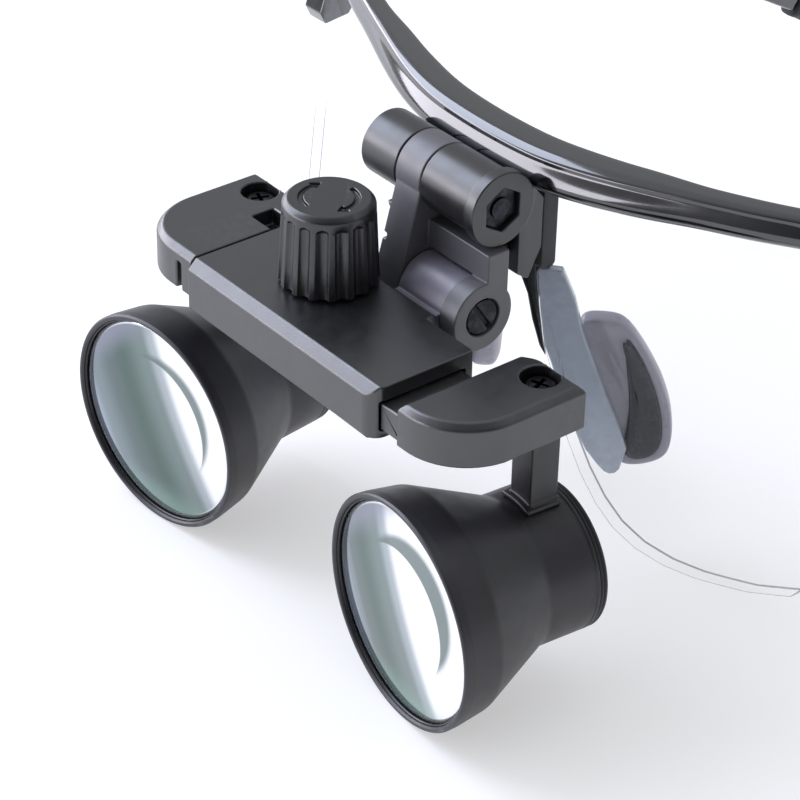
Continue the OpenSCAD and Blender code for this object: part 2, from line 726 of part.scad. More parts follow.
// the beam's knuckle in the lower hinge
module tilt_knuckle_shape() {
    difference() {
        union() {
            bar_x(lower_r, knuckle_left, knuckle_right, lower_back, lower_up);
            translate([knuckle_left, bay_rear, 1.2])
                cube([knuckle_w, lower_back - bay_rear, lower_up - 0.6]);
        }
        bar_x(bolt_r + bolt_gap, knuckle_left - 1, knuckle_right + 1, lower_back, lower_up);
        translate([bay_end - 2.2, bay_rear - 1, 0]) cube([5, 1 + eps, 9]);
    }
}

// the link between the two hinges
module hinge_link_shape() {
    plate_top = upper_up - upper_r - 0.9;
    plate_bottom = lower_up + lower_r + 0.4;
    plate_y = lower_back + 0.6;
    difference() {
        union() {
            hull() {
                bar_x(lower_r, leg_left, leg_right, lower_back, lower_up, 64);
                bar_x(upper_r - 1.2, leg_left, leg_right, upper_back - 0.6, upper_up, 64);
            }
            bar_x(upper_r, leg_left, leg_right, upper_back, upper_up);
            translate([leg_left, plate_y, plate_bottom])
                cube([ear_right - leg_left, 3.6, plate_top - plate_bottom]);
            bar_x(lower_r + 0.4, ear_left, ear_right, lower_back, lower_up);
            translate([ear_left, plate_y, lower_up]) cube([ear_w, 3.6, plate_top - lower_up]);
            translate([0, lower_back - 0.5, 0]) rotate([90, 0, 0]) translate([0, 0, -3.4])
                linear_extrude(height = 3.4) polygon([
                    [leg_left + 0.5, 10.5], [leg_left - 2.6, 15.2], [leg_left + 0.5, 15.2]
                ]);
        }
        bar_x(bolt_r, leg_left - 1, leg_right + 1, lower_back, lower_up);
        bar_x(bolt_r, ear_left - 1, ear_right + 1, lower_back, lower_up);
        bar_x(bolt_head_r + 0.3, ear_right - 1.3, ear_right + 1, lower_back, lower_up);
        bar_x(bolt_r + bolt_gap, leg_left - 1, leg_right + 1, upper_back, upper_up);
        translate([leg_left - 1, lower_back - 6, lower_up + 5.4]) cube([1.7, 4, 0.8]);
    }
}

// the bolt of the lower hinge with its slotted head
module lower_bolt_shape() {
    difference() {
        union() {
            bar_x(bolt_r, leg_left + 0.4, ear_right - 1.2, lower_back, lower_up);
            bar_x(bolt_head_r, ear_right - 1.3, ear_right - 0.2, lower_back, lower_up);
        }
        translate([ear_right - 0.2, lower_back, lower_up]) rotate([35, 0, 0])
            cube([1.1, 0.8, 6], center = true);
    }
}

// a round cap nut on the lower bolt's left end
module lower_nut_shape() {
    difference() {
        bar_x(bolt_head_r, leg_left - 1.1, leg_left, lower_back, lower_up);
        bar_x(bolt_r, leg_left - 0.6, leg_left + 1, lower_back, lower_up);
    }
}

// the bolt of the upper hinge
module upper_bolt_shape() {
    difference() {
        union() {
            bar_x(bolt_r, barrel_left_end + 1.6, barrel_right_end - 0.5, upper_back, upper_up);
            bar_x(bolt_head_r, barrel_left_end + 0.3, barrel_left_end + 1.7, upper_back, upper_up);
        }
        translate([barrel_left_end + 0.3, upper_back, upper_up]) cube([1.4, 0.8, 6], center = true);
    }
}

// the six-sided nut in the upper hinge's right end
module upper_nut_shape() {
    r = nut_flats / 2 / cos(30);
    x0 = barrel_right_end - nut_recess;
    difference() {
        bar_x(r, x0, x0 + 1.6, upper_back, upper_up, 6);
        bar_x(bolt_r, x0 - 1, x0 + 3, upper_back, upper_up);
    }
}

// the black bracket that carries the upper hinge
module hinge_bracket_shape() {
    web_z0 = upper_up - 4;
    difference() {
        union() {
            bar_x(upper_r, barrel_left_end, leg_left - hinge_gap, upper_back, upper_up);
            bar_x(upper_r, barrel_right_start, barrel_right_end, upper_back, upper_up);
            bar_x(flange_r, barrel_right_end - flange_t, barrel_right_end, upper_back, upper_up);
            translate([-bridge_w / 2, upper_back + 2, web_z0])
                cube([bridge_w / 2 + leg_left - hinge_gap, plate_front - upper_back - 1, 5.6]);
            translate([barrel_right_start, upper_back + 2, web_z0])
                cube([bridge_w / 2 - barrel_right_start, plate_front - upper_back - 1, 5.6]);
            translate([-bridge_w / 2, 0, 0]) rotate([90, 0, 90])
                linear_extrude(height = bridge_w) polygon([
                [plate_front, upper_up + 1.6], [plate_rear - 1.5, upper_up - 0.6],
                [plate_rear, upper_up - 2.5], [plate_rear, 11], [plate_rear - 2.2, 6.6],
                [plate_front, 8]
            ]);
        }
        bar_x(bolt_r, barrel_left_end - 1, leg_left, upper_back, upper_up);
        bar_x(bolt_r, barrel_right_start - 1, barrel_right_end + 1, upper_back, upper_up);
        bar_x(bolt_head_r + 0.2, barrel_left_end - 1, barrel_left_end + 1.7, upper_back, upper_up);
        bar_x(nut_flats / 2 / cos(30) + 0.06, barrel_right_end - nut_recess, barrel_right_end + 1,
            upper_back, upper_up, 6);
        for (s = [-1, 1]) translate([s * screw_side, plate_front - 1, screw_up])
            rotate([-90, 0, 0]) cylinder(r = bracket_screw_r, h = 8);
    }
}

// the two screws that hold the bracket to the bridge
module bracket_screws_shape() {
    for (s = [-1, 1]) translate([s * screw_side, plate_front - 0.8, screw_up])
        rotate([-90, 0, 0]) difference() {
            union() {
                cylinder(r = bracket_screw_r + 0.8, h = 0.8);
                cylinder(r = bracket_screw_r, h = 7);
            }
            cube([0.5, 2.4, 0.9], center = true);
        }
}

// height of the brow bar's underside at a distance behind the beam
function under_bar(y) = bar_up - bar_h * cos(bar_tilt)
    + (y - bar_back - bar_h * sin(bar_tilt)) * tan(bar_tilt);

// the nose unit's own frame: X runs outwards and back, Y is up, Z points forward
module in_nose() {
    translate([nose_x, nose_y, 0]) rotate([0, 0, nose_turn]) rotate([90, 0, 0]) children();
}

// the black bridge under the middle of the brow bar
module nose_bridge_shape() {
    y0 = plate_rear;
    y1 = y0 + bridge_t;
    z0 = bridge_bottom;
    difference() {
        union() {
            translate([-bridge_w / 2, 0, 0]) rotate([90, 0, 90])
                linear_extrude(height = bridge_w) polygon([
                    [y0, z0 + 0.6], [y0 + 0.6, z0], [y1 - 0.6, z0], [y1, z0 + 0.6],
                    [y1, under_bar(y1)], [y0, under_bar(y0)]
                ]);
            for (s = [0, 1]) mirror([s, 0, 0]) in_nose() linear_extrude(height = lug_t) polygon([
                [-3.5, 5.8], [-2.2, 7.6], [-1.15, 7.8], [-1.15, 5.4], [-0.6, 0.3], [0.2, -5.3],
                [0.7, -7.4], [-0.3, -5.6], [-1.5, -1.4], [-2.3, 2.6]
            ]);
        }
        translate([0, y0 - 1, z0 - 0.4]) rotate([-90, 0, 0])
            cylinder(r = bridge_arch_r, h = bridge_t + 4);
        for (s = [-1, 1]) translate([s * screw_side, y0 - 1, screw_up]) rotate([-90, 0, 0])
            cylinder(r = bracket_screw_r, h = 4);
        for (s = [0, 1]) mirror([s, 0, 0]) in_nose() translate([-1.05, z0 - 1, 0.15])
            cube([1.4, 3.8, strip_t - 0.5]);
    }
}

// the clear strip that hangs from the bridge and carries a nose pad
module nose_arm_shape() {
    in_nose() difference() {
        union() {
            linear_extrude(height = strip_t) polygon([
                [-1, bridge_bottom - 0.1], [2.4, bridge_bottom - 0.3], [4.3, 2.3], [5.7, -3.2],
                [7.8, -8.7],
                [9.3, -12.7], [11.7, -18.4], [12.8, -21.7], [12.3, -23.9], [12, -25.2],
                [11.4, -25.9], [10.6, -26.1], [9.8, -25.7], [8.8, -24.6], [7, -22.2], [5.6, -19.3],
                [3.4, -14], [1.4, -8], [0.4, -5.3], [-0.4, 0.3], [-0.8, 4]
            ]);
            translate([-1, bridge_bottom - 1, 0.2]) cube([1.3, 3.7, strip_t - 0.6]);
        }
        translate([9.2, -15.5, -1]) cylinder(r = 0.9, h = 1.9, $fn = 48);
    }
}

// the outline of a nose pad, drawn for a pad 14.5 wide and 24 high
module pad_outline() {
    translate([4.6, -1.6]) scale([pad_w / 14.5, pad_len / 24]) polygon([
        [0.9, -0.4], [2.2, 0], [5.3, 0], [6.7, -0.6], [7.9, -1.8], [9.1, -3.5], [10.3, -5.4],
        [11.4, -7.4], [12.4, -9.4], [13.2, -11.5], [13.8, -13.5], [14.2, -15.5], [14.5, -18],
        [14.4, -20.2], [14, -21.6], [13.1, -22.6], [11.6, -23.4], [9.8, -23.9], [8.2, -24],
        [6.9, -23.4], [5.8, -21.8], [4.6, -18.6], [3, -13.8], [1.6, -8.8], [0.4, -4], [0.2, -1.4]
    ]);
}

// the outline of the dark clip in the pad
module clip_outline(grow) {
    polygon([
        [8 - grow, -9 + grow], [10.5, -5.2 + grow], [12.3, -4.6 + grow], [14 + grow, -6.4],
        [16.2 + grow, -11], [17.2 + grow, -15.5], [17.2 + grow, -18.6], [16.2, -20 - grow],
        [13.8, -19.8 - grow], [8 - grow, -18]
    ]);
}

// one soft nose pad with a domed rear face and a pocket for the clip
module nose_pad_shape() {
    in_nose() difference() {
        intersection() {
            translate([0, 0, -pad_t]) linear_extrude(height = pad_t) pad_outline();
            translate([4.6 + pad_w / 2, -1.6 - pad_len / 2, 0])
                scale([pad_w * 0.78, pad_len * 0.8, pad_t]) sphere(r = 1, $fn = 96);
        }
        translate([0, 0, -clip_pocket]) linear_extrude(height = clip_pocket + 1) clip_outline(0);
    }
}

// the dark clip that ties the pad to the strip
module nose_clip_shape() {
    in_nose() {
        difference() {
            translate([0, 0, -clip_pocket]) linear_extrude(height = 0.8) clip_outline(-0.08);
            translate([15.4, -15, -3]) cylinder(r = 0.8, h = 3, $fn = 48);
        }
        translate([8.2, -17.6, -1]) cube([3.4, 6.6, 1]);
        translate([9.2, -15.5, -0.5]) cylinder(r = 0.85, h = 1.3, $fn = 48);
        translate([15.4, -15, -1]) difference() {
            cylinder(r = 1.5, h = 0.7, $fn = 48);
            translate([0, 0, -1]) cylinder(r = 0.8, h = 3, $fn = 48);
        }
    }
}

// the brow bar's rounded section, drawn for a bar that turns about the origin
module bar_section(radius) {
    r = bar_edge_r;
    translate([radius + bar_d / 2, -bar_h / 2]) {
        square([bar_d - 2 * r, bar_h], center = true);
        square([bar_d, bar_h - 2 * r], center = true);
        for (x = [-1, 1], y = [-1, 1])
            translate([x * (bar_d / 2 - r), y * (bar_h / 2 - r)]) circle(r = r);
    }
}

// puts a piece in the brow bar's own tilted frame
module in_bar() {
    translate([0, bar_back, bar_up]) rotate([bar_tilt, 0, 0]) children();
}

// the brow bar's long middle curve
module brow_bar_shape() {
    in_bar() translate([0, bar_curve_r, 0]) rotate([0, 0, -90 - bar_turn])
        rotate_extrude(angle = 2 * bar_turn, $fn = 180) bar_section(bar_curve_r - bar_d);
}

// one lens: a slice of a cylinder with a nose cut
module lens_shape() {
    r = bar_curve_r - 1.4;
    z1 = -bar_h;
    in_bar() intersection() {
        translate([0, bar_curve_r, z1]) rotate([-lens_lean - bar_tilt, 0, 0])
            translate([0, 0, -lens_h - lens_drop]) rotate([0, 0, -92])
                rotate_extrude(angle = bar_turn + 4, $fn = 180)
                translate([r - lens_t, 0]) square([lens_t, lens_h + lens_drop + 2]);
        translate([0, bar_curve_r * 0.7, z1]) rotate([90, 0, 0])
            linear_extrude(height = bar_curve_r) polygon([
            [lens_start, 0], [lens_end, 0], [lens_end + 1, -8], [lens_end + 1, -lens_h + 20],
            [lens_end + 0.6, -lens_h + 8], [lens_end - 0.4, -lens_h + 3],
            [lens_end - 3, -lens_h + 0.4], [lens_end - 8, -lens_h],
            [lens_start + 32.7, -lens_h + 0.4], [lens_start + 28.4, -lens_h + 1.1],
            [lens_start + 24.3, -lens_h + 2.4], [lens_start + 20.7, -lens_h + 4.4],
            [lens_start + 17.7, -lens_h + 7.1], [lens_start + 14.8, -lens_h + 10.6],
            [lens_start + 12, -lens_h + 14.8], [lens_start + 9, -lens_h + 21.5],
            [lens_start + 5.8, -lens_h + 27.5], [lens_start + 1.9, -13.5], [lens_start, -8]
        ]);
    }
}

// the deep block at the end of the brow bar that carries a temple
module end_block_shape() {
    difference() {
        union() {
            in_bar() translate([bar_half_w - bar_end_r * sin(bar_turn),
                bar_run + bar_end_r * cos(bar_turn), 0]) rotate([0, 0, -90 + bar_turn])
                rotate_extrude(angle = bar_end_turn - bar_turn, $fn = 96)
                    bar_section(bar_end_r - bar_d);
            translate([pin_x - knuckle_r, end_y, 0]) rotate([90, 0, 90])
                linear_extrude(height = 2 * knuckle_r) polygon([
                    [-4.5, temple_top - 0.5], [-3.5, temple_top], [4, temple_top],
                    [4, temple_top - temple_front_h], [-1, temple_top - temple_front_h - 2],
                    [-4, temple_top - block_drop], [-8.5, temple_top - block_drop - 0.5],
                    [-9.5, temple_top - block_drop + 1.5], [-6.5, temple_top - 7]
                ]);
            translate([pin_x, pin_y, temple_top - temple_front_h])
                cylinder(r = knuckle_r, h = temple_front_h);
        }
        translate([pin_x, pin_y, temple_top - 8]) cylinder(r = knuckle_r + 0.4, h = 5);
        translate([pin_x, pin_y, temple_top - 2 * temple_front_h])
            cylinder(r = pin_r, h = 3 * temple_front_h);
    }
}

// the pin of a temple hinge
module temple_pin_shape() {
    translate([pin_x, pin_y, temple_top - temple_front_h])
        cylinder(r = pin_r, h = temple_front_h);
}

// the temple's side outline, with y along the temple
module temple_outline() {
    a = temple_slope;
    b = tail_slope;
    z0 = temple_top;
    h0 = temple_front_h / 2;
    h1 = temple_h / 2;
    core = sleeve_core;
    sy = straight_y;
    sz = straight_z;
    cy = sy + sleeve_start * cos(b);
    cz = sz - sleeve_start * sin(b);
    ey = cy + sleeve_grip * cos(b);
    ez = cz - sleeve_grip * sin(b);
    my = pin_y + temple_narrow;
    mz = z0 - h0 - temple_narrow * tan(a);
    polygon([
        [pin_y + knuckle_r + 0.3, z0], [my, mz + h1], [sy + 1, sz + h1 + 0.4],
        [cy + h1 * sin(b), cz + h1 * cos(b)], [cy + core * sin(b), cz + core * cos(b)],
        [ey + core * sin(b), ez + core * cos(b)], [ey - core * sin(b), ez - core * cos(b)],
        [cy - core * sin(b), cz - core * cos(b)], [cy - h1 * sin(b), cz - h1 * cos(b)],
        [sy - 1, sz - h1 - 0.2], [my, mz - h1], [pin_y + knuckle_r + 0.3, z0 - 2 * h0]
    ]);
}

// one temple with its knuckle
module temple_shape() {
    difference() {
        union() {
            translate([pin_x - temple_t / 2 + 0.4, 0, 0]) rotate([90, 0, 90])
                linear_extrude(height = temple_t) temple_outline();
            translate([pin_x, pin_y, temple_top - 7.9]) cylinder(r = knuckle_r - 0.1, h = 4.8);
            translate([pin_x - 1, pin_y, temple_top - 7.9]) cube([2.6, 4, 4.8]);
        }
        translate([pin_x, pin_y, temple_top - 9]) cylinder(r = pin_r + bolt_gap, h = 8);
    }
}

// the soft sleeve behind the ear
module temple_sleeve_shape() {
    a = tail_slope;
    cy = straight_y + sleeve_start * cos(a);
    cz = straight_z - sleeve_start * sin(a);
    difference() {
        translate([pin_x - sleeve_t / 2 + 0.4, 0, 0]) rotate([90, 0, 90])
            linear_extrude(height = sleeve_t) difference() {
                hull() {
                    translate([cy + 4.2 * sin(a), cz + 4.2 * cos(a)]) circle(r = 0.4);
                    translate([cy - 4.2 * sin(a), cz - 4.2 * cos(a)]) circle(r = 0.4);
                    translate([tip_y, tip_z]) circle(r = sleeve_end_r);
                }
                translate([cy, cz]) rotate([0, 0, -a]) translate([-2, -8]) square([2, 16]);
            }
        translate([pin_x - temple_t / 2 + 0.4, 0, 0]) rotate([90, 0, 90])
            linear_extrude(height = temple_t) temple_outline();
    }
}

module barrel_left() { color("#2b2b2d") on_side(-1) barrel_shape(); }
module barrel_right() { color("#2b2b2d") on_side(1) barrel_shape(); }
module objective_left() { color("#dfe8e4") on_side(-1) objective_shape(); }
module objective_right() { color("#dfe8e4") on_side(1) objective_shape(); }
module objective_ring_left() { color("#3a3a3c") on_side(-1) objective_ring_shape(); }
module objective_ring_right() { color("#3a3a3c") on_side(1) objective_ring_shape(); }
module eye_lens_left() { color("#dfe8e4") on_side(-1) eye_lens_shape(); }
module eye_lens_right() { color("#dfe8e4") on_side(1) eye_lens_shape(); }
module eye_clamp_left() { color("#3a3a3c") on_side(-1) eye_clamp_shape(); }
module eye_clamp_right() { color("#3a3a3c") on_side(1) eye_clamp_shape(); }
module eye_ring_left() { color("#222224") on_side(-1) eye_ring_shape(); }
module eye_ring_right() { color("#222224") on_side(1) eye_ring_shape(); }
module post_left() { color("#333335") on_side(-1) post_shape(); }
module post_right() { color("#333335") on_side(1) post_shape(); }
module swivel_washer_left() { color("#8d8d92") on_side(-1) washer_shape(); }
module swivel_washer_right() { color("#8d8d92") on_side(1) washer_shape(); }
module swivel_screw_left() { color("#a8a8ac") on_side(-1) swivel_screw_shape(); }
module swivel_screw_right() { color("#a8a8ac") on_side(1) swivel_screw_shape(); }
module arm_left() { color("#4a4b4e") on_side(-1) arm_shape(-1); }
module arm_right() { color("#4a4b4e") on_side(1) arm_shape(1); }
module rack_left() { color("#b59a57") on_side(-1) rack_rear_shape(); }
module rack_right() { color("#b59a57") raised() rack_front_shape(); }
module beam_housing() { color("#46474a") raised() beam_housing_shape(); }
module beam_cover() { color("#3a3b3e") raised() beam_cover_shape(); }
module cover_screws() { color("#a8a8ac") raised() cover_screws_shape(); }
module knob() { color("#3c3d40") raised() knob_shape(); }
module pinion() { color("#b59a57") raised() pinion_shape(); }
module tilt_knuckle() { color("#7f7c8c") raised() tilt_knuckle_shape(); }
module hinge_link() { color("#55565a") raised() hinge_link_shape(); }
module lower_bolt() { color("#3a3a3e") raised() lower_bolt_shape(); }
module lower_nut() { color("#3a3a3e") raised() lower_nut_shape(); }
module upper_bolt() { color("#8d8d92") raised() upper_bolt_shape(); }
module upper_nut() { color("#4c4c50") raised() upper_nut_shape(); }
module hinge_bracket() { color("#3d3e42") raised() hinge_bracket_shape(); }
module bracket_screws() { color("#8d8d92") raised() bracket_screws_shape(); }
module nose_bridge() { color("#1c1c20") raised() nose_bridge_shape(); }
module nose_arm_left() { color("#8f94a0") on_side(-1) nose_arm_shape(); }
module nose_arm_right() { color("#8f94a0") on_side(1) nose_arm_shape(); }
module nose_pad_left() { color("#7d8088") on_side(-1) nose_pad_shape(); }
module nose_pad_right() { color("#7d8088") on_side(1) nose_pad_shape(); }
module nose_clip_left() { color("#2c2b34") on_side(-1) nose_clip_shape(); }
module nose_clip_right() { color("#2c2b34") on_side(1) nose_clip_shape(); }
module brow_bar() { color("#16161a") raised() brow_bar_shape(); }
module lens_left() { color("#e8eef0") on_side(-1) lens_shape(); }
module lens_right() { color("#e8eef0") on_side(1) lens_shape(); }
module end_block_left() { color("#2a2a2e") on_side(-1) end_block_shape(); }
module end_block_right() { color("#2a2a2e") on_side(1) end_block_shape(); }
module temple_pin_left() { color("#a8a8ac") on_side(-1) temple_pin_shape(); }
module temple_pin_right() { color("#a8a8ac") on_side(1) temple_pin_shape(); }
module temple_left() { color("#1c1c20") on_side(-1) temple_shape(); }
module temple_right() { color("#1c1c20") on_side(1) temple_shape(); }
module temple_sleeve_left() { color("#2a2a2e") on_side(-1) temple_sleeve_shape(); }
module temple_sleeve_right() { color("#2a2a2e") on_side(1) temple_sleeve_shape(); }

barrel_left();
barrel_right();
objective_left();
objective_right();
objective_ring_left();
objective_ring_right();
eye_lens_left();
eye_lens_right();
eye_clamp_left();
eye_clamp_right();
eye_ring_left();
eye_ring_right();
post_left();
post_right();
swivel_washer_left();
swivel_washer_right();
swivel_screw_left();
swivel_screw_right();
arm_left();
arm_right();
rack_left();
rack_right();
beam_housing();
beam_cover();
cover_screws();
knob();
pinion();
tilt_knuckle();
hinge_link();
lower_bolt();
lower_nut();
upper_bolt();
upper_nut();
hinge_bracket();
bracket_screws();
nose_bridge();
nose_arm_left();
nose_arm_right();
nose_pad_left();
nose_pad_right();
nose_clip_left();
nose_clip_right();
brow_bar();
lens_left();
lens_right();
end_block_left();
end_block_right();
temple_pin_left();
temple_pin_right();
temple_left();
temple_right();
temple_sleeve_left();
temple_sleeve_right();
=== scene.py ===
import json
import logging
import math
from collections.abc import Callable, Sequence
from dataclasses import dataclass
from enum import Enum

import bmesh
import bpy
from mathutils import Matrix, Vector


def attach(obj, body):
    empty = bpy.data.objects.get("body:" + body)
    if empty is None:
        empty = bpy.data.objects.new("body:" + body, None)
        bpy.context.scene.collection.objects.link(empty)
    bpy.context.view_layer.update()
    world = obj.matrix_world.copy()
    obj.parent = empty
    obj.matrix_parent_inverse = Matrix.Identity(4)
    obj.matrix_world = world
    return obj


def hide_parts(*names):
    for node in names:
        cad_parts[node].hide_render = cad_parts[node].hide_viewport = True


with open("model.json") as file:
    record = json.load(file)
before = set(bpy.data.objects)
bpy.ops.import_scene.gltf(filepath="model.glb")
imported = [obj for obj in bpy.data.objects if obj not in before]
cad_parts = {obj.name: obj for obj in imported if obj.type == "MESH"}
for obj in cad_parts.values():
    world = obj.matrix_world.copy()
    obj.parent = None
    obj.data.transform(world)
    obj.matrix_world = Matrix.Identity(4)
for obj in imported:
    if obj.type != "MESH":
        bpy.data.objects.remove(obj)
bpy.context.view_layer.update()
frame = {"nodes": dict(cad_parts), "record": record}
LOG = logging.getLogger("loupes")
Tree = bpy.types.NodeTree
Node = bpy.types.Node
Socket = bpy.types.NodeSocket
Object = bpy.types.Object
Mesh = bmesh.types.BMesh
Pair = tuple[float, float]
Triple = tuple[float, float, float]
# a tint's place from 0 to 1 and its sRGB hex
Stop = tuple[float, str]
# gives a point of a piece its place on the flat map
Map = Callable[[Vector], Pair]
MM = 0.001
# the middle of the beam's underside, from which places are counted in millimetres
BEAM = Vector(next(m for m in frame["record"]["mounts"] if m["name"] == "beam_underside")["pos_m"])
BEAM_MM = Matrix.Translation(BEAM) @ Matrix.Scale(MM, 4)
# points of a drawn mesh this close are one point, and a turned corner is found this near, in mm
MERGE_MM = 0.0005
NEAR_MM = 0.002
# the flat map that the lathe's rings and the coatings follow, and the radius it is rolled off at
PATTERN = "pattern"
MAP_R = 10.0
# a wave texture of scale 1 repeats after this length
WAVE_LENGTH = math.tau / 20
# sockets of a colour mix: the share, the colour below, the colour above and the result
MIX_SHARE, MIX_UNDER, MIX_OVER, MIX_RESULT = 0, 6, 7, 2


def turn(degrees: float, axis: str) -> Matrix:
    """Return a rotation about X, Y or Z."""
    return Matrix.Rotation(math.radians(degrees), 4, axis)


def eased(value: float, low: float, high: float) -> float:
    """Rise softly from 0 at one value to 1 at another."""
    share = min(1.0, max(0.0, (value - low) / (high - low)))
    return share * share * (3 - 2 * share)


def linear(code: str) -> tuple[float, float, float, float]:
    """Turn an sRGB hex value into linear red, green, blue and a full alpha.

    Args:
        code: Six hex digits, with or without a leading hash.

    Returns:
        Four linear values.
    """
    digits = code.lstrip("#")
    srgb = [int(digits[i:i + 2], 16) / 255 for i in (0, 2, 4)]
    lin = [c / 12.92 if c <= 0.04045 else ((c + 0.055) / 1.055) ** 2.4 for c in srgb]
    return (lin[0], lin[1], lin[2], 1.0)


def add_node(tree: Tree, kind: str, settings: dict | None = None,
             links: dict | None = None) -> Node:
    """Add one node with its settings and its incoming links.

    Args:
        tree: The node tree that takes the node.
        kind: The node's type name.
        settings: Properties by name, or input values by socket name or number.
        links: Source sockets by the name or number of the input that they feed.

    Returns:
        The new node.
    """
    node = tree.nodes.new(kind)
    for key, value in (settings or {}).items():
        if isinstance(key, str) and hasattr(node, key):
            setattr(node, key, value)
        else:
            node.inputs[key].default_value = value
    for key, source in (links or {}).items():
        tree.links.new(source, node.inputs[key])
    return node


def mottle(tree: Tree, coords: Socket, size_mm: float, noise: dict, spread: dict) -> Socket:
    """Cover the surface with soft patches, spread over a range of values."""
    cloud = add_node(tree, "ShaderNodeTexNoise", {"Scale": 1 / (size_mm * MM)} | noise,
                     {"Vector": coords})
    return add_node(tree, "ShaderNodeMapRange", spread,
                    {"Value": cloud.outputs["Fac"]}).outputs["Result"]


class Side(Enum):
    """The two sides of the loupes, with the sign of X."""

    LEFT = -1
    RIGHT = 1

    @property
    def word(self) -> str:
        """The side's name in the nodes and bodies."""
        return self.name.lower()


@dataclass(frozen=True)
class Surface:
    """A named material, made once and shared by every piece that takes it."""

    name: str

    def build(self) -> bpy.types.Material:
        """Make the material, or return it where it was made before."""
        mat = bpy.data.materials.get(self.name)
        if not mat:
            mat = bpy.data.materials.new(self.name)
            mat.use_nodes = True
            tree = mat.node_tree
            tree.nodes.clear()
            coords = add_node(tree, "ShaderNodeTexCoord").outputs["Object"]
            add_node(tree, "ShaderNodeOutputMaterial", {},
                     {"Surface": self.shade(tree, coords).outputs["BSDF"]})
        return mat

    def shade(self, tree: Tree, coords: Socket) -> Node:
        """Add the main shader with all that feeds it; each kind of surface has its own."""
        raise NotImplementedError(self.name)


@dataclass(frozen=True)
class Finish(Surface):
    """A surface finish with broad colour drift, fine grain and lighter edges: worn, and on the
    smoky strip a painted highlight.

    Moulded, anodised and rubber surfaces really have a grain of 0.02 to 0.1 mm. That is too
    fine to show, so it is drawn 0.2 to 0.6 mm wide. On polished, painted or clear pieces the
    grain stands for a slow waviness of 0.8 to 4 mm.
    """

    base: str
    drift: str
    # the edge colour: wear on most finishes, and a painted highlight on the smoky strip
    edge_wear_and_highlight: str
    roughness: float = 0.5
    rough_spread: float = 0.12
    grain_mm: float = 0.35
    grain_bump: float = 0.12
    grain_deep_mm: float = 0.05
    drift_mm: float = 9.0
    chip_mm: float = 1.1
    touch_mm: float = 2.6
    edge_wear_and_highlight_amount: float = 0.5
    metallic: float = 0.0
    specular: float = 0.5
    ior: float = 1.5
    coat: float = 0.0
    coat_roughness: float = 0.1
    sheen: float = 0.0
    glow: float = 0.0

    def shade(self, tree: Tree, coords: Socket) -> Node:
        """Add the main shader with its colour, roughness and relief."""
        return add_node(tree, "ShaderNodeBsdfPrincipled", {
            "Metallic": self.metallic, "Coat Weight": self.coat,
            "Coat Roughness": self.coat_roughness, "Sheen Weight": self.sheen,
            "Specular IOR Level": self.specular, "IOR": self.ior,
            "Emission Color": linear("#ffffff"), "Emission Strength": self.glow},
            {"Base Color": self.color(tree, coords), "Roughness": self.rough(tree, coords),
             "Normal": self.relief(tree, coords)})

    def color(self, tree: Tree, coords: Socket) -> Socket:
        """Blend the base colour with its drift and with the edge colour: wear, and on the smoky
        strip a painted highlight.

        Args:
            tree: The material's node tree.
            coords: Object coordinates.

        Returns:
            The colour socket.
        """
        drifted = mottle(tree, coords, self.drift_mm, {"Detail": 4.0, "Roughness": 0.55},
                         {"From Min": 0.35, "From Max": 0.65})
        tone = add_node(tree, "ShaderNodeMix", {
            "data_type": "RGBA", MIX_UNDER: linear(self.base), MIX_OVER: linear(self.drift)},
            {MIX_SHARE: drifted})
        # the edge colour, wear on most finishes and a painted highlight on the smoky strip, follows
        # the pointiness
        edge = add_node(tree, "ShaderNodeNewGeometry").outputs["Pointiness"]
        rim = add_node(tree, "ShaderNodeMapRange", {
            "From Min": 0.52, "From Max": 0.62, "To Max": self.edge_wear_and_highlight_amount}, {"Value": edge})
        chips = mottle(tree, coords, self.chip_mm, {"Detail": 5.0},
                       {"From Min": 0.4, "From Max": 0.7})
        amount = add_node(tree, "ShaderNodeMath", {"operation": "MULTIPLY"},
                          {0: rim.outputs["Result"], 1: chips})
        return add_node(tree, "ShaderNodeMix", {"data_type": "RGBA", MIX_OVER: linear(self.edge_wear_and_highlight)}, {
            MIX_SHARE: amount.outputs[0], MIX_UNDER: tone.outputs[MIX_RESULT]}).outputs[MIX_RESULT]

    def rough(self, tree: Tree, coords: Socket) -> Socket:
        """Vary the roughness in handled patches."""
        half = self.rough_spread / 2
        return mottle(tree, coords, self.touch_mm, {"Detail": 6.0}, {
            "From Min": 0.3, "From Max": 0.7, "To Min": max(0.02, self.roughness - half),
            "To Max": self.roughness + half})

    def relief(self, tree: Tree, coords: Socket) -> Socket:
        """Raise the fine grain of the surface."""
        grain = add_node(tree, "ShaderNodeTexNoise", {
            "Scale": 1 / (self.grain_mm * MM), "Detail": 2.0}, {"Vector": coords})
        return add_node(tree, "ShaderNodeBump", {
            "Strength": self.grain_bump, "Distance": self.grain_deep_mm * MM},
            {"Height": grain.outputs["Fac"]}).outputs["Normal"]


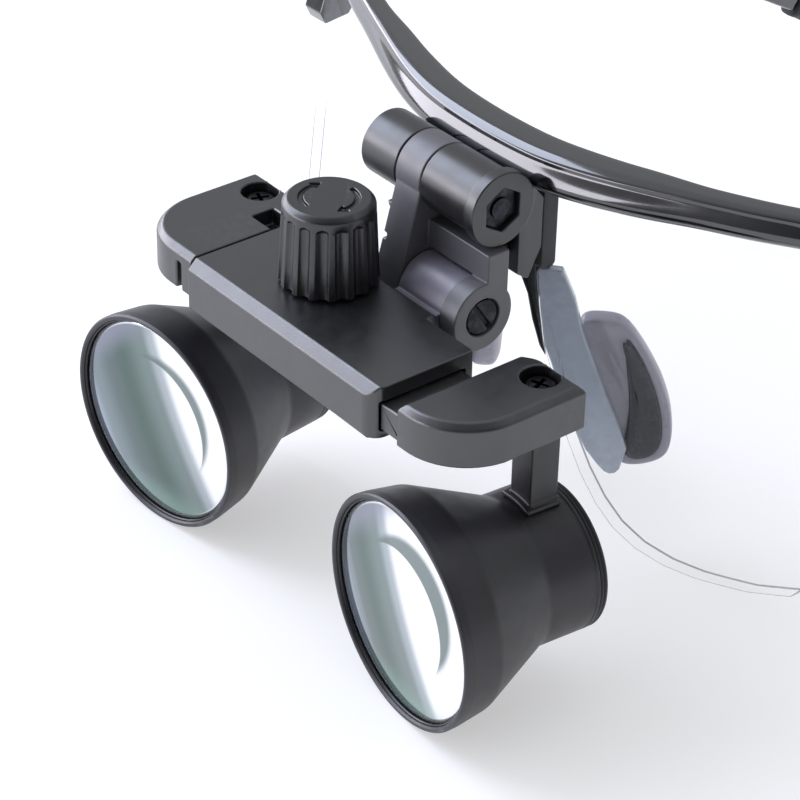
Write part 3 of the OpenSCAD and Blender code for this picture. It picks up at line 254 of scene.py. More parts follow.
@dataclass(frozen=True)
class TurnedMetal(Finish):
    """Metal cut on a lathe: fine rings run round the piece's own axis."""

    grain_mm: float = 0.2
    grain_bump: float = 0.15
    ring_mm: float = 0.25
    ring_bump: float = 0.2
    ring_deep_mm: float = 0.02
    on_map: bool = False

    def relief(self, tree: Tree, coords: Socket) -> Socket:
        """Add the tool's rings to the grain.

        Args:
            tree: The material's node tree.
            coords: Object coordinates, in metres.

        Returns:
            The normal socket.
        """
        along, unit = coords, MM
        if self.on_map:
            along = add_node(tree, "ShaderNodeUVMap", {"uv_map": PATTERN}).outputs["UV"]
            unit = 1.0
        rings = add_node(tree, "ShaderNodeTexWave", {
            "wave_type": "BANDS", "bands_direction": "Y",
            "Scale": WAVE_LENGTH / (self.ring_mm * unit), "Distortion": 0.3, "Detail": 2.0},
            {"Vector": along})
        return add_node(tree, "ShaderNodeBump", {
            "Strength": self.ring_bump, "Distance": self.ring_deep_mm * MM},
            {"Height": rings.outputs["Fac"],
             "Normal": super().relief(tree, coords)}).outputs["Normal"]


@dataclass(frozen=True)
class ClearPlastic(Finish):
    """Clear or smoky moulded plastic that lets light through.

    It shows up to a height over the beam's underside and is gone a little above that.
    """

    alpha_face: float = 0.1
    alpha_edge: float = 0.6
    show_below_mm: float = 1000.0
    fade_mm: float = 8.0

    def shade(self, tree: Tree, coords: Socket) -> Node:
        """Let the light through, less where the surface turns away.

        Args:
            tree: The material's node tree.
            coords: Object coordinates, in metres.

        Returns:
            The main shader node.
        """
        shader = super().shade(tree, coords)
        facing = add_node(tree, "ShaderNodeLayerWeight", {"Blend": 0.35}).outputs["Facing"]
        alpha = add_node(tree, "ShaderNodeMapRange", {
            "To Min": self.alpha_face, "To Max": self.alpha_edge}, {"Value": facing})
        height = add_node(tree, "ShaderNodeSeparateXYZ", {}, {0: coords}).outputs["Z"]
        top = BEAM.z + self.show_below_mm * MM
        shown = add_node(tree, "ShaderNodeMapRange", {
            "From Min": top, "From Max": top + self.fade_mm * MM, "To Min": 1.0, "To Max": 0.0},
            {"Value": height})
        both = add_node(tree, "ShaderNodeMath", {"operation": "MULTIPLY"},
                        {0: alpha.outputs["Result"], 1: shown.outputs["Result"]})
        tree.links.new(both.outputs[0], shader.inputs["Alpha"])
        return shader


# ABS, moulded against a fine spark-eroded tool: near black with a soft grey sheen
ABS_BLACK = Finish("abs_spark_eroded", "#131316", "#1a1b1e", "#3f4045", roughness=0.34,
                   rough_spread=0.08, grain_mm=0.3, grain_bump=0.2, edge_wear_and_highlight_amount=0.3, specular=1.0,
                   ior=1.58)
# ABS of the knob, moulded smoother, with light rubbed on its ribs by fingers
KNOB_BLACK = Finish("abs_satin_knob", "#151518", "#1c1d20", "#4c4d52", roughness=0.32,
                    rough_spread=0.1, grain_mm=0.28, grain_bump=0.14, edge_wear_and_highlight_amount=0.6, specular=0.9)
# glass-filled nylon of the hinge's bracket, moulded: near black, satin, hardly rubbed
NYLON_HINGE = Finish("nylon_moulded_hinge", "#111114", "#17171a", "#3c3d42", roughness=0.34,
                     rough_spread=0.08, grain_mm=0.4, grain_bump=0.06, edge_wear_and_highlight_amount=0.15, specular=1.0)
# the same nylon on the link and the knuckle, painted a lighter grey that stands for the highlights
# on them, and flatter
NYLON_LINK_PAINTED_LIGHT = Finish("nylon_link_painted_highlight", "#545459", "#5d5d62", "#6a6b72", roughness=0.46,
                    rough_spread=0.1, grain_mm=0.4, grain_bump=0.06, edge_wear_and_highlight_amount=0.15, specular=1.0)
NYLON_KNUCKLE_PAINTED_LIGHT = Finish("nylon_knuckle_painted_highlight", "#7c7987", "#868391", "#a19faa",
                       roughness=0.44, rough_spread=0.1, grain_mm=0.4, grain_bump=0.06,
                       edge_wear_and_highlight_amount=0.15, specular=1.0)
# nylon of the posts under the arms, moulded: black, satin
NYLON_POST = Finish("nylon_moulded_post", "#17171a", "#1e1e21", "#45464a", roughness=0.38,
                    grain_mm=0.25, specular=0.8)
# transparent-grade nylon of the frame, tumbled to a wet black gloss
FRAME_GLOSS = Finish("nylon_tumble_polished", "#060608", "#0a0b0f", "#181a20", roughness=0.12,
                     rough_spread=0.05, grain_mm=2.2, grain_bump=0.04, coat=1.0,
                     coat_roughness=0.05, edge_wear_and_highlight_amount=0.3, specular=0.8)
# the same nylon on the bridge, left as it came from the mould: black, less gloss
FRAME_SATIN = Finish("nylon_moulded_bridge", "#08080a", "#0d0d10", "#1c1d22", roughness=0.32,
                     rough_spread=0.08, grain_mm=0.5, grain_bump=0.06, edge_wear_and_highlight_amount=0.3, specular=0.4)
# anodised aluminium of the telescopes: matt black with a violet cast and fine lathe rings
ANODISED_BLACK = TurnedMetal("aluminium_black_anodised", "#1b1a1f", "#24232b", "#5a5866",
                             roughness=0.44, rough_spread=0.08, grain_mm=0.22, grain_bump=0.1,
                             edge_wear_and_highlight_amount=0.8, specular=0.7, ring_mm=0.3, ring_bump=0.12, on_map=True)
# the same metal on the small threaded rings inside: smoother, with coarser rings
ANODISED_RING = TurnedMetal("aluminium_black_ring", "#101013", "#18181c", "#505058",
                            roughness=0.3, grain_bump=0.1, ring_mm=0.4, ring_bump=0.3,
                            on_map=True)
# bright machine screws, rolled and zinc plated
SCREW_STEEL = TurnedMetal("steel_zinc_plated", "#a6a7aa", "#8d8e92", "#d5d6d8", metallic=1.0,
                          roughness=0.28, ring_mm=0.3)
# screws and hinge bolts, blackened by heat and oil
DARK_STEEL = TurnedMetal("steel_blackened", "#2e2e32", "#232327", "#7d7e84", metallic=1.0,
                         roughness=0.34)
# brass gear stock, cut and left bare inside the beam
GEAR_BRASS = TurnedMetal("brass_hobbed", "#b08d4a", "#8f7038", "#d9bf86", metallic=1.0,
                         roughness=0.32)
# rubber of the eye rings and temple sleeves: dull, dusty, a little sheen at the edges
SOFT_RUBBER = Finish("rubber_moulded_soft", "#17171a", "#202023", "#303034", roughness=0.7,
                     grain_mm=0.4, grain_bump=0.25, sheen=0.2, edge_wear_and_highlight_amount=0.2)
# polycarbonate of the two frame lenses, hard coated: seen only by its gleam
CLEAR_LENS = ClearPlastic("polycarbonate_hard_coated", "#dfe5ea", "#d8dfe5", "#ffffff",
                          roughness=0.05, rough_spread=0.03, grain_mm=4.0, grain_bump=0.01,
                          edge_wear_and_highlight_amount=0.1, alpha_face=0.02, alpha_edge=0.07, ior=1.58)
# the same sheet where it was cut and edge polished: a thin grey line, seen low on the lens
LENS_EDGE = ClearPlastic("polycarbonate_cut_edge", "#a9aeb6", "#b4b9c0", "#d0d4da",
                         roughness=0.2, rough_spread=0.05, grain_mm=1.0, grain_bump=0.05,
                         edge_wear_and_highlight_amount=0.1, alpha_face=0.75, alpha_edge=0.9, ior=1.58,
                         show_below_mm=-4.0)
# polyamide of the nose unit's strips, moulded: smoky, with edges painted near white as highlights
SMOKY_STRIP = ClearPlastic("polyamide_smoky_strip", "#a7b2c2", "#b1bccb", "#f2f5f8",
                           roughness=0.2, rough_spread=0.1, grain_mm=0.8, grain_bump=0.06,
                           edge_wear_and_highlight_amount=0.9, alpha_face=0.88, alpha_edge=1.0, coat=0.4)
# silicone of the nose pads, cloudy and soft
PAD_SILICONE = ClearPlastic("silicone_cloudy_pad", "#9d9aa9", "#a7a4b2", "#c0bdc9",
                            roughness=0.3, grain_mm=0.6, grain_bump=0.08, edge_wear_and_highlight_amount=0.3,
                            alpha_face=0.8, alpha_edge=0.97, sheen=0.1)
# polyamide of the plates in the nose pads, moulded: dark, glossy, rubbed light at the edge
CLIP_DARK = Finish("polyamide_dark_clip", "#201e26", "#2a2832", "#7d7b88", roughness=0.24,
                   grain_mm=0.4, grain_bump=0.1, edge_wear_and_highlight_amount=0.8)
# painted board of the table: white and quite matt, lifted a little to the room's brightness
TABLE_PAINT = Finish("acrylic_light_table", "#cfcfcf", "#cdcdce", "#cfcfcf", roughness=0.85,
                     rough_spread=0.05, grain_mm=1.5, grain_bump=0.02, drift_mm=300.0,
                     edge_wear_and_highlight_amount=0.0, specular=0.1, glow=0.45)


@dataclass(frozen=True)
class CoatedGlass(Surface):
    """Optical glass, ground and polished, with its coating's tints by angle."""

    tints: tuple[Stop, ...] = (
        (0.0, "#0d1c1b"), (0.25, "#21403a"), (0.5, "#48645e"), (0.8, "#a9b8ba"))
    metallic: float = 0.7
    dust_mm: float = 3.0

    def shade(self, tree: Tree, coords: Socket) -> Node:
        """Add a smooth, half mirroring shader with a trace of wiping marks.

        Args:
            tree: The material's node tree.
            coords: Object coordinates, in metres.

        Returns:
            The main shader node.
        """
        dust = add_node(tree, "ShaderNodeTexNoise", {
            "Scale": 1 / (self.dust_mm * MM), "Detail": 4.0}, {"Vector": coords}).outputs["Fac"]
        rough = add_node(tree, "ShaderNodeMapRange", {"To Min": 0.05, "To Max": 0.1},
                         {"Value": dust})
        wipe = add_node(tree, "ShaderNodeBump", {"Strength": 0.01, "Distance": 0.005 * MM},
                        {"Height": dust})
        return add_node(tree, "ShaderNodeBsdfPrincipled", {
            "Metallic": self.metallic, "Coat Weight": 0.5, "Coat Roughness": 0.03},
            {"Base Color": self.color(tree), "Roughness": rough.outputs["Result"],
             "Normal": wipe.outputs["Normal"]})

    def stops(self) -> tuple[Stop, ...]:
        """Return the tints with their places, from 0 to 1."""
        return self.tints

    def measure(self, tree: Tree) -> Socket:
        """Measure the angle at which the glass is seen, as a coating's tint follows it."""
        return add_node(tree, "ShaderNodeLayerWeight", {"Blend": 0.5}).outputs["Facing"]

    def color(self, tree: Tree) -> Socket:
        """Run through the tints by what is measured on the glass.

        Args:
            tree: The material's node tree.

        Returns:
            The colour socket.
        """
        node = add_node(tree, "ShaderNodeValToRGB", {}, {"Fac": self.measure(tree)})
        band = node.color_ramp
        band.interpolation = "EASE"
        while len(band.elements) < len(self.stops()):
            band.elements.new(1.0)
        for element, (place, code) in zip(band.elements, self.stops()):
            element.position = place
            element.color = linear(code)
        return node.outputs["Color"]


class Measure(Enum):
    """How a point of the flat lens is measured: along a direction or from a point."""

    ALONG = "DOT_PRODUCT"
    FROM = "DISTANCE"


@dataclass(frozen=True)
class Rise:
    """A soft rise from 0 at one measure to 1 at another, which may be the smaller one."""

    kind: Measure
    way: Pair
    low: float
    high: float


@dataclass(frozen=True)
class ObjectiveGlass(CoatedGlass):
    """The large front lens: green coating, with lilac reflections, a milky highlight and a dark
    crescent of shade painted on.

    The pattern follows the lens's own flat map in millimetres. The crescent is painted shade,
    standing for the inside of the bell's cone seen through the glass, and the milky half is a
    painted reflection of the lit side of the inner glasses.
    """

    radius: float = 15.6
    slant: float = 0.5
    painted_highlight_from: float = 6.8
    green_at: float = -4.2
    cone_r: float = 10.2
    shade_r: float = 9.6
    shade_off: Pair = (1.9, 1.8)

    def stops(self) -> tuple[Stop, ...]:
        """Return the tints from the painted lilac rim through the green to the painted milky side.
        """
        green, mid = (0.5 + at * 0.5 / self.radius for at in (self.green_at, self.painted_highlight_from))
        return ((0.0, "#929daa"), (0.1, "#6c7b80"), (green - 0.08, "#4c5f5f"),
                (green + 0.04, "#3f5951"), (mid - 0.1, "#6f7f7c"), (mid - 0.02, "#a5aeb2"),
                (mid + 0.06, "#fbfcfd"))

    def painted_light_patches(self) -> tuple[tuple[str, float, tuple[Rise, ...]], ...]:
        """List the painted light and shade laid over the tints, each with its strength and where it
        shows.
        """
        centre = (0.0, 0.0)
        return (
            # painted reflections: lilac at the upper inner rim, and green light from below
            ("#8a8c9f", 0.8, (Rise(Measure.ALONG, (-0.9, 1.0), 14.0, 20.0),)),
            ("#8fb3a6", 0.45, (Rise(Measure.ALONG, (0.0, 1.0), -9.0, -14.5),)),
            # painted shade: the dark crescent between the cone's end and its shade
            ("#5f706d", 0.9, (Rise(Measure.FROM, centre, self.cone_r - 0.12, self.cone_r + 0.12),
                              Rise(Measure.FROM, self.shade_off, self.shade_r + 0.3,
                                   self.shade_r - 0.9))),
            # a painted highlight line, and painted shade in the dark gap inside the ring
            ("#f4f7f7", 0.8, (Rise(Measure.FROM, centre, 14.7, 15.0),
                              Rise(Measure.FROM, centre, 15.38, 15.18))),
            ("#0c0d0f", 1.0, (Rise(Measure.FROM, centre, 15.3, 15.42),)))

    def measure(self, tree: Tree) -> Socket:
        """Measure the way across the lens on its slant, from 0 to 1.

        Args:
            tree: The material's node tree.

        Returns:
            The measure's socket.
        """
        flat = add_node(tree, "ShaderNodeUVMap", {"uv_map": PATTERN}).outputs["UV"]
        across = add_node(tree, "ShaderNodeVectorMath", {
            "operation": Measure.ALONG.value, 1: (1.0, self.slant, 0.0)}, {0: flat})
        return add_node(tree, "ShaderNodeMapRange", {
            "From Min": -self.radius, "From Max": self.radius},
            {"Value": across.outputs["Value"]}).outputs["Result"]

    def color(self, tree: Tree) -> Socket:
        """Lay the painted shade of the crescent, the painted highlight line and the painted dark
        rim over the run of tints.

        Args:
            tree: The material's node tree.

        Returns:
            The colour socket.
        """
        tone = super().color(tree)
        flat = add_node(tree, "ShaderNodeUVMap", {"uv_map": PATTERN}).outputs["UV"]
        for code, strength, rises in self.painted_light_patches():
            share: dict[str, Socket] = {}
            for rise in rises:
                reading = add_node(tree, "ShaderNodeVectorMath", {
                    "operation": rise.kind.value, 1: (*rise.way, 0.0)}, {0: flat})
                part = add_node(tree, "ShaderNodeMapRange", {
                    "interpolation_type": "SMOOTHSTEP", "From Min": rise.low,
                    "From Max": rise.high, "To Max": strength},
                    {"Value": reading.outputs["Value"]} | share)
                share = {"To Max": part.outputs["Result"]}
            tone = add_node(tree, "ShaderNodeMix", {"data_type": "RGBA", MIX_OVER: linear(code)}, {
                MIX_SHARE: share["To Max"], MIX_UNDER: tone}).outputs[MIX_RESULT]
        return tone


# crown glass of the objectives, ground, polished and coated in a vacuum, with reflections,
# highlights and shade painted on
OBJECTIVES = {
    Side.LEFT: ObjectiveGlass("glass_coated_objective_left"),
    Side.RIGHT: ObjectiveGlass("glass_coated_objective_right", painted_highlight_from=1.5, green_at=-8.5,
                               cone_r=9.7, shade_r=9.7, shade_off=(2.2, 2.8))}
# flint glass of the eye lenses, with a darker green coating
EYE_GLASS = CoatedGlass("glass_coated_eye")

# a node, or a kind of node on both sides, with its finish, its edge radius in millimetres and
# the steps across the radius
Row = tuple[str, Surface, float, int]


def place_new(name: str, data: bpy.types.ID) -> Object:
    """Make an object of some data and link it to the scene."""
    obj = bpy.data.objects.new(name, data)
    bpy.context.scene.collection.objects.link(obj)
    return obj


class Softener:
    """Gives hard edges the small radius that a moulded edge has, with flat faces kept flat."""

    group_name = "smooth_shallow_edges"
    shallow_rad = 0.6
    weld_mm = 0.004
    flat_deg = 0.3
    sharp_deg = 38
    large_face_weight = 60

    @classmethod
    def group(cls) -> Tree:
        """Return the node group that smooths the faces across shallow edges."""
        made = bpy.data.node_groups.get(cls.group_name)
        if made:
            return made
        tree = bpy.data.node_groups.new(cls.group_name, "GeometryNodeTree")
        for way in ("INPUT", "OUTPUT"):
            tree.interface.new_socket("Geometry", in_out=way, socket_type="NodeSocketGeometry")
        entry = add_node(tree, "NodeGroupInput")
        faces = add_node(tree, "GeometryNodeSetShadeSmooth", {"domain": "FACE"},
                         {"Geometry": entry.outputs[0]})
        angle = add_node(tree, "GeometryNodeInputMeshEdgeAngle")
        shallow = add_node(tree, "FunctionNodeCompare", {
            "operation": "LESS_THAN", 1: cls.shallow_rad}, {0: angle.outputs["Unsigned Angle"]})
        edges = add_node(tree, "GeometryNodeSetShadeSmooth", {"domain": "EDGE"},
                         {"Geometry": faces.outputs[0], "Shade Smooth": shallow.outputs[0]})
        add_node(tree, "NodeGroupOutput", {}, {0: edges.outputs[0]})
        return tree

    @classmethod
    def apply(cls, obj: Object, radius_mm: float, segments: int, edge_slot: int) -> None:
        """Weld, join flat faces, bevel and smooth one piece with live modifiers.

        Args:
            obj: The piece.
            radius_mm: The radius of its edges, or 0 for none.
            segments: Steps across the radius.
            edge_slot: The material slot that the edges take, or -1 for their neighbours'.
        """
        cls.add(obj, "weld", "WELD", merge_threshold=cls.weld_mm * MM)
        cls.add(obj, "join_flat_faces", "DECIMATE", decimate_type="DISSOLVE",
                angle_limit=math.radians(cls.flat_deg))
        if radius_mm > 0:
            cls.add(obj, "edge_radius", "BEVEL", width=radius_mm * MM, segments=segments,
                    limit_method="ANGLE", angle_limit=math.radians(cls.sharp_deg),
                    use_clamp_overlap=False, miter_outer="MITER_ARC", material=edge_slot)
        cls.add(obj, "smooth_shallow", "NODES", node_group=cls.group())
        cls.even(obj)

    @staticmethod
    def add(obj: Object, name: str, kind: str, **settings: object) -> None:
        """Add one live modifier with its settings."""
        modifier = obj.modifiers.new(name, kind)
        for key, value in settings.items():
            setattr(modifier, key, value)

    @classmethod
    def even(cls, obj: Object) -> None:
        """Let the large faces set the shading, so that flats and cones stay crisp."""
        cls.add(obj, "even_shading", "WEIGHTED_NORMAL", keep_sharp=True,
                weight=cls.large_face_weight)


def dress(node: str, finish: Surface, radius_mm: float, segments: int = 2,
          edge: Surface | None = None) -> None:
    """Give a CAD node its finish and the small radius of its edges.

    Args:
        node: The node's name.
        finish: The finish it takes.
        radius_mm: The radius of its edges.
        segments: Steps across the radius.
        edge: The finish of its rounded edges, where they differ.
    """
    obj = frame["nodes"][node]
    obj.data.materials.clear()
    obj.data.materials.append(finish.build())
    if edge:
        obj.data.materials.append(edge.build())
    Softener.apply(obj, radius_mm, segments, 1 if edge else -1)
    LOG.info("dressed %s", node)


def settle(work: Mesh, name: str, body: str, finish: Surface, place: Matrix, stands_for: str,
           maps: Map | None = None, levels: int = 0) -> None:
    """Turn a mesh drawn in millimetres into a finished piece at its place.

    Args:
        work: The mesh, in the piece's own millimetres; it is used up.
        name: The piece's name.
        body: The body that it moves with.
        finish: Its finish.
        place: Where it goes, in the beam's millimetres.
        stands_for: The CAD node that it replaces.
        maps: Gives a point of the piece its place on the pattern, in millimetres.
        levels: Steps of subdivision, or 0 for none.
    """
    bmesh.ops.remove_doubles(work, verts=work.verts, dist=MERGE_MM)
    bmesh.ops.recalc_face_normals(work, faces=work.faces)
    for face in work.faces:
        face.smooth = True
    if maps:
        layer = work.loops.layers.uv.new(PATTERN)
        for face in work.faces:
            for loop in face.loops:
                loop[layer].uv = maps(loop.vert.co)
    bmesh.ops.transform(work, matrix=BEAM_MM @ place, verts=work.verts)
    mesh = bpy.data.meshes.new(name)
    work.to_mesh(mesh)
    work.free()
    mesh.materials.append(finish.build())
    obj = place_new(name, mesh)
    if levels:
        Softener.add(obj, "subdivide", "SUBSURF", levels=levels, render_levels=levels)
    else:
        Softener.even(obj)
    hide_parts(stands_for)
    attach(obj, body)
    LOG.info("built %s", name)


def turned(profile: Sequence[Triple], closed: bool = True, steps: int = 144) -> Mesh:
    """Turn a profile about Z and round its corners.

    Args:
        profile: Radius, height and corner radius of each point.
        closed: Whether the last point joins the first.
        steps: Faces round the axis.

    Returns:
        The turned mesh.
    """
    work = bmesh.new()
    points = [work.verts.new((r, 0.0, z)) for r, z, _ in profile]
    pairs = list(zip(points, points[1:])) + ([(points[-1], points[0])] if closed else [])
    edges = [work.edges.new(pair) for pair in pairs]
    bmesh.ops.spin(work, geom=points + edges, cent=(0, 0, 0), axis=(0, 0, 1),
                   angle=math.tau, steps=steps, use_merge=True)
    bmesh.ops.remove_doubles(work, verts=work.verts, dist=MERGE_MM)
    bmesh.ops.dissolve_degenerate(work, edges=work.edges, dist=MERGE_MM)
    bmesh.ops.recalc_face_normals(work, faces=work.faces)
    for r, z, corner in profile:
        if corner > 0:
            ring = [e for e in work.edges if all(
                abs(math.hypot(v.co.x, v.co.y) - r) < NEAR_MM and abs(v.co.z - z) < NEAR_MM
                for v in e.verts)]
            bmesh.ops.bevel(work, geom=ring, offset=corner, offset_type="OFFSET", segments=3,
                            profile=0.5, affect="EDGES", material=-1, clamp_overlap=True)
    return work


def lofted(stations: Sequence[Matrix], sides: int, square: float) -> Mesh:
    """Draw a rounded section along a run of places and close both ends.

    Args:
        stations: Where the unit section lies at each step.
        sides: Points round the section.
        square: 1 for an oval, and below 1 for a squarer section.

    Returns:
        The closed mesh.
    """
    work = bmesh.new()
    bmesh.ops.create_circle(work, cap_ends=True, radius=1.0, segments=sides)
    for vert in work.verts:
        vert.co.x = math.copysign(abs(vert.co.x) ** square, vert.co.x)
        vert.co.y = math.copysign(abs(vert.co.y) ** square, vert.co.y)
    bmesh.ops.transform(work, matrix=stations[0], verts=work.verts)
    ring = list(work.edges)
    for before, after in zip(stations, stations[1:]):
        grown = bmesh.ops.extrude_edge_only(work, edges=ring)["geom"]
        fresh = [g for g in grown if isinstance(g, bmesh.types.BMVert)]
        ring = [g for g in grown if isinstance(g, bmesh.types.BMEdge)]
        bmesh.ops.transform(work, matrix=after @ before.inverted(), verts=fresh)
    bmesh.ops.holes_fill(work, edges=ring, sides=0)
    return work


@dataclass
class Telescope:
    """One magnifying telescope with its post, washer and swivel screw.

    Its own millimetres run from the front rim along +Z to the eye end; X is the row's X and
    +Y points down.
    """

    side: Side
    swivel_side: float = 30.2680
    swivel_back: float = 11.0
    axis_down: float = 21.7
    toe_in: float = 6.2
    rise: float = 0.9
    reach: float = 21.0
    rim_r: float = 16.5
    bore_r: float = 15.65
    knee_r: float = 15.8
    band: float = 6.0
    cone_end: float = 17.0
    rear_r: float = 10.7
    length: float = 25.0
    eye_r: float = 8.6
    # depths inside the shell: objective's seat, inner cone, and both ends of the narrow throat
    cell: float = 3.4
    cone_start: float = 7.4
    throat: float = 16.0
    eye_seat: float = 19.6
    groove: float = 0.12
    glass_sag: float = 0.95
    # the clamp ring's thread: its turns, their pitch and their depth
    thread_turns: int = 8
    thread_pitch: float = 0.22
    thread_deep: float = 0.16
    # the kinds of piece that keep the CAD's form
    dressed: tuple[Row, ...] = (
        ("eye_lens", EYE_GLASS, 0.0, 2), ("post", NYLON_POST, 0.3, 3),
        ("swivel_washer", SCREW_STEEL, 0.05, 2), ("swivel_screw", DARK_STEEL, 0.06, 2))

    @property
    def place(self) -> Matrix:
        """The telescope's own frame in the beam's millimetres."""
        s = self.side.value
        spot = Matrix.Translation((s * self.swivel_side, self.swivel_back, -self.axis_down))
        tilt = turn(-s * self.toe_in, "Z") @ turn(self.rise, "X") @ turn(-90, "X")
        return spot @ tilt @ Matrix.Translation((0, 0, -self.reach))

    def piece(self, work: Mesh, kind: str, finish: Surface, maps: Map) -> None:
        """Settle one turned piece of this telescope in place of its CAD node."""
        settle(work, f"{kind}_{self.side.word}_turned", f"telescope_{self.side.word}", finish,
               self.place, f"{kind}_{self.side.word}", maps)

    @staticmethod
    def round_map(point: Vector) -> Pair:
        """Lay the pattern round the axis and along it, in millimetres."""
        return (math.atan2(point.y, point.x) * MAP_R, point.z)

    @staticmethod
    def disc_map(point: Vector) -> Pair:
        """Lay the pattern flat across the axis, in millimetres."""
        return (point.x, -point.y)

    def shell(self) -> None:
        """Turn the bell: a thin rim with a bright inner chamfer, a crisp knee, a long cone."""
        bore, rim, rear, eye, end = self.bore_r, self.rim_r, self.rear_r, self.eye_r, self.length
        slim = rear - self.groove
        outer = [(bore, 0.3, 0.06), (bore + 0.22, 0.02, 0.05), (rim - 0.26, 0.0, 0.06),
                 (rim, 0.28, 0.1), (rim - 0.05, 1.5, 0.1), (self.knee_r, self.band, 0.45),
                 (rear, self.cone_end, 0.5), (rear, end - 0.9, 0.05), (slim, end - 0.75, 0.04),
                 (slim, end - 0.55, 0.04), (rear, end - 0.4, 0.05), (rear, end, 0.12)]
        inner = [(eye, end, 0.1), (eye, self.eye_seat, 0), (eye - 1, self.eye_seat, 0),
                 (eye - 1, self.throat, 0), (self.knee_r - 2.2, self.cone_start, 0),
                 (bore - 1.4, self.cell, 0), (bore, self.cell, 0)]
        self.piece(turned(outer + inner), "barrel", ANODISED_BLACK,
                   self.round_map)

    def front_glass(self) -> None:
        """Turn the large objective: two shallow domes on a straight edge."""
        edge, front, sag, steps = self.bore_r - 0.06, 1.05, self.glass_sag, 18
        ball = (edge * edge + sag * sag) / (2 * sag)
        radii = [edge * i / steps for i in range(steps + 1)]
        dome = [(r, front - sag + ball - math.sqrt(ball * ball - r * r), 0.0) for r in radii]
        tail = [(edge, self.cell, 0.0), (edge - 1.5, self.cell, 0.0), (0.0, self.cell + 0.8, 0.0)]
        self.piece(turned(dome + tail, closed=False), "objective", OBJECTIVES[self.side],
                   self.disc_map)

    def front_ring(self) -> None:
        """Turn the thin threaded ring that holds the objective."""
        r = self.bore_r - 0.05
        self.piece(turned([(r - 0.2, 0.62, 0.04), (r - 0.08, 0.45, 0.03), (r, 0.45, 0.0),
                           (r, 1.0, 0.0), (r - 0.16, 0.98, 0.0)]),
                   "objective_ring", ANODISED_RING, self.round_map)

    def eye_clamp(self) -> None:
        """Turn the clamp ring behind the eye lens, with its cut thread."""
        r, start, end = self.eye_r - 0.05, 22.6, self.length - 0.62
        thread = [(r - 0.98 - (self.thread_deep if i % 2 else 0.0),
                   end - 0.2 - i * self.thread_pitch, 0.0) for i in range(self.thread_turns)]
        self.piece(turned([(r, start, 0.0), (r, end, 0.0), (r - 0.8, end, 0.05)] + thread
                          + [(r - 1.0, start, 0.0)]),
                   "eye_clamp", ANODISED_RING, self.round_map)

    def eye_cushion(self) -> None:
        """Turn the soft ring round the eye end: a rolled lip with a shallow groove."""
        r, inner, end = self.rear_r, self.eye_r, self.length
        self.piece(turned([
            (inner - 0.98, end - 0.58, 0.1), (inner - 0.02, end - 0.58, 0.05),
            (inner - 0.02, end + 0.02, 0.0), (r - 0.1, end + 0.02, 0.08),
            (r, end + 0.3, 0.1), (r - 0.18, end + 0.55, 0.1), (r, end + 0.8, 0.1),
            (r - 0.25, end + 1.3, 0.2), (r - 1.0, end + 1.4, 0.3), (inner - 0.2, end + 1.25, 0.3),
            (inner - 0.9, end + 0.7, 0.2)]), "eye_ring", SOFT_RUBBER,
            self.round_map)

    def build(self) -> None:
        """Build and dress every piece of the telescope."""
        for make in (self.shell, self.front_glass, self.front_ring, self.eye_clamp,
                     self.eye_cushion):
            make()
        for kind, *look in self.dressed:
            dress(f"{kind}_{self.side.word}", *look)


@dataclass
class CrossBeam:
    """The beam with its cover, its two slide arms, racks, pinion and knob."""

    middle: tuple[Row, ...] = (
        ("beam_housing", ABS_BLACK, 0.25, 3), ("beam_cover", ABS_BLACK, 0.12, 2),
        ("cover_screws", SCREW_STEEL, 0.05, 2), ("knob", KNOB_BLACK, 0.2, 3),
        ("pinion", GEAR_BRASS, 0.04, 2))
    sides: tuple[Row, ...] = (
        ("arm", ABS_BLACK, 0.3, 3), ("rack", GEAR_BRASS, 0.04, 2))

    def build(self) -> None:
        """Dress every piece of the beam."""
        for row in self.middle:
            dress(*row)
        for side in Side:
            for kind, *look in self.sides:
                dress(f"{kind}_{side.word}", *look)


@dataclass
class DoubleHinge:
    """The two hinges between the beam and the frame."""

    # the knuckle and the link take the nylon painted lighter as their highlights
    pieces: tuple[Row, ...] = (
        ("tilt_knuckle", NYLON_KNUCKLE_PAINTED_LIGHT, 0.2, 2), ("hinge_link", NYLON_LINK_PAINTED_LIGHT, 0.22, 3),
        ("lower_bolt", DARK_STEEL, 0.08, 2), ("lower_nut", DARK_STEEL, 0.1, 2),
        ("upper_bolt", DARK_STEEL, 0.08, 2), ("upper_nut", DARK_STEEL, 0.1, 2),
        ("hinge_bracket", NYLON_HINGE, 0.22, 3), ("bracket_screws", DARK_STEEL, 0.06, 2))

    def build(self) -> None:
        """Dress every piece of the hinges."""
        for row in self.pieces:
            dress(*row)


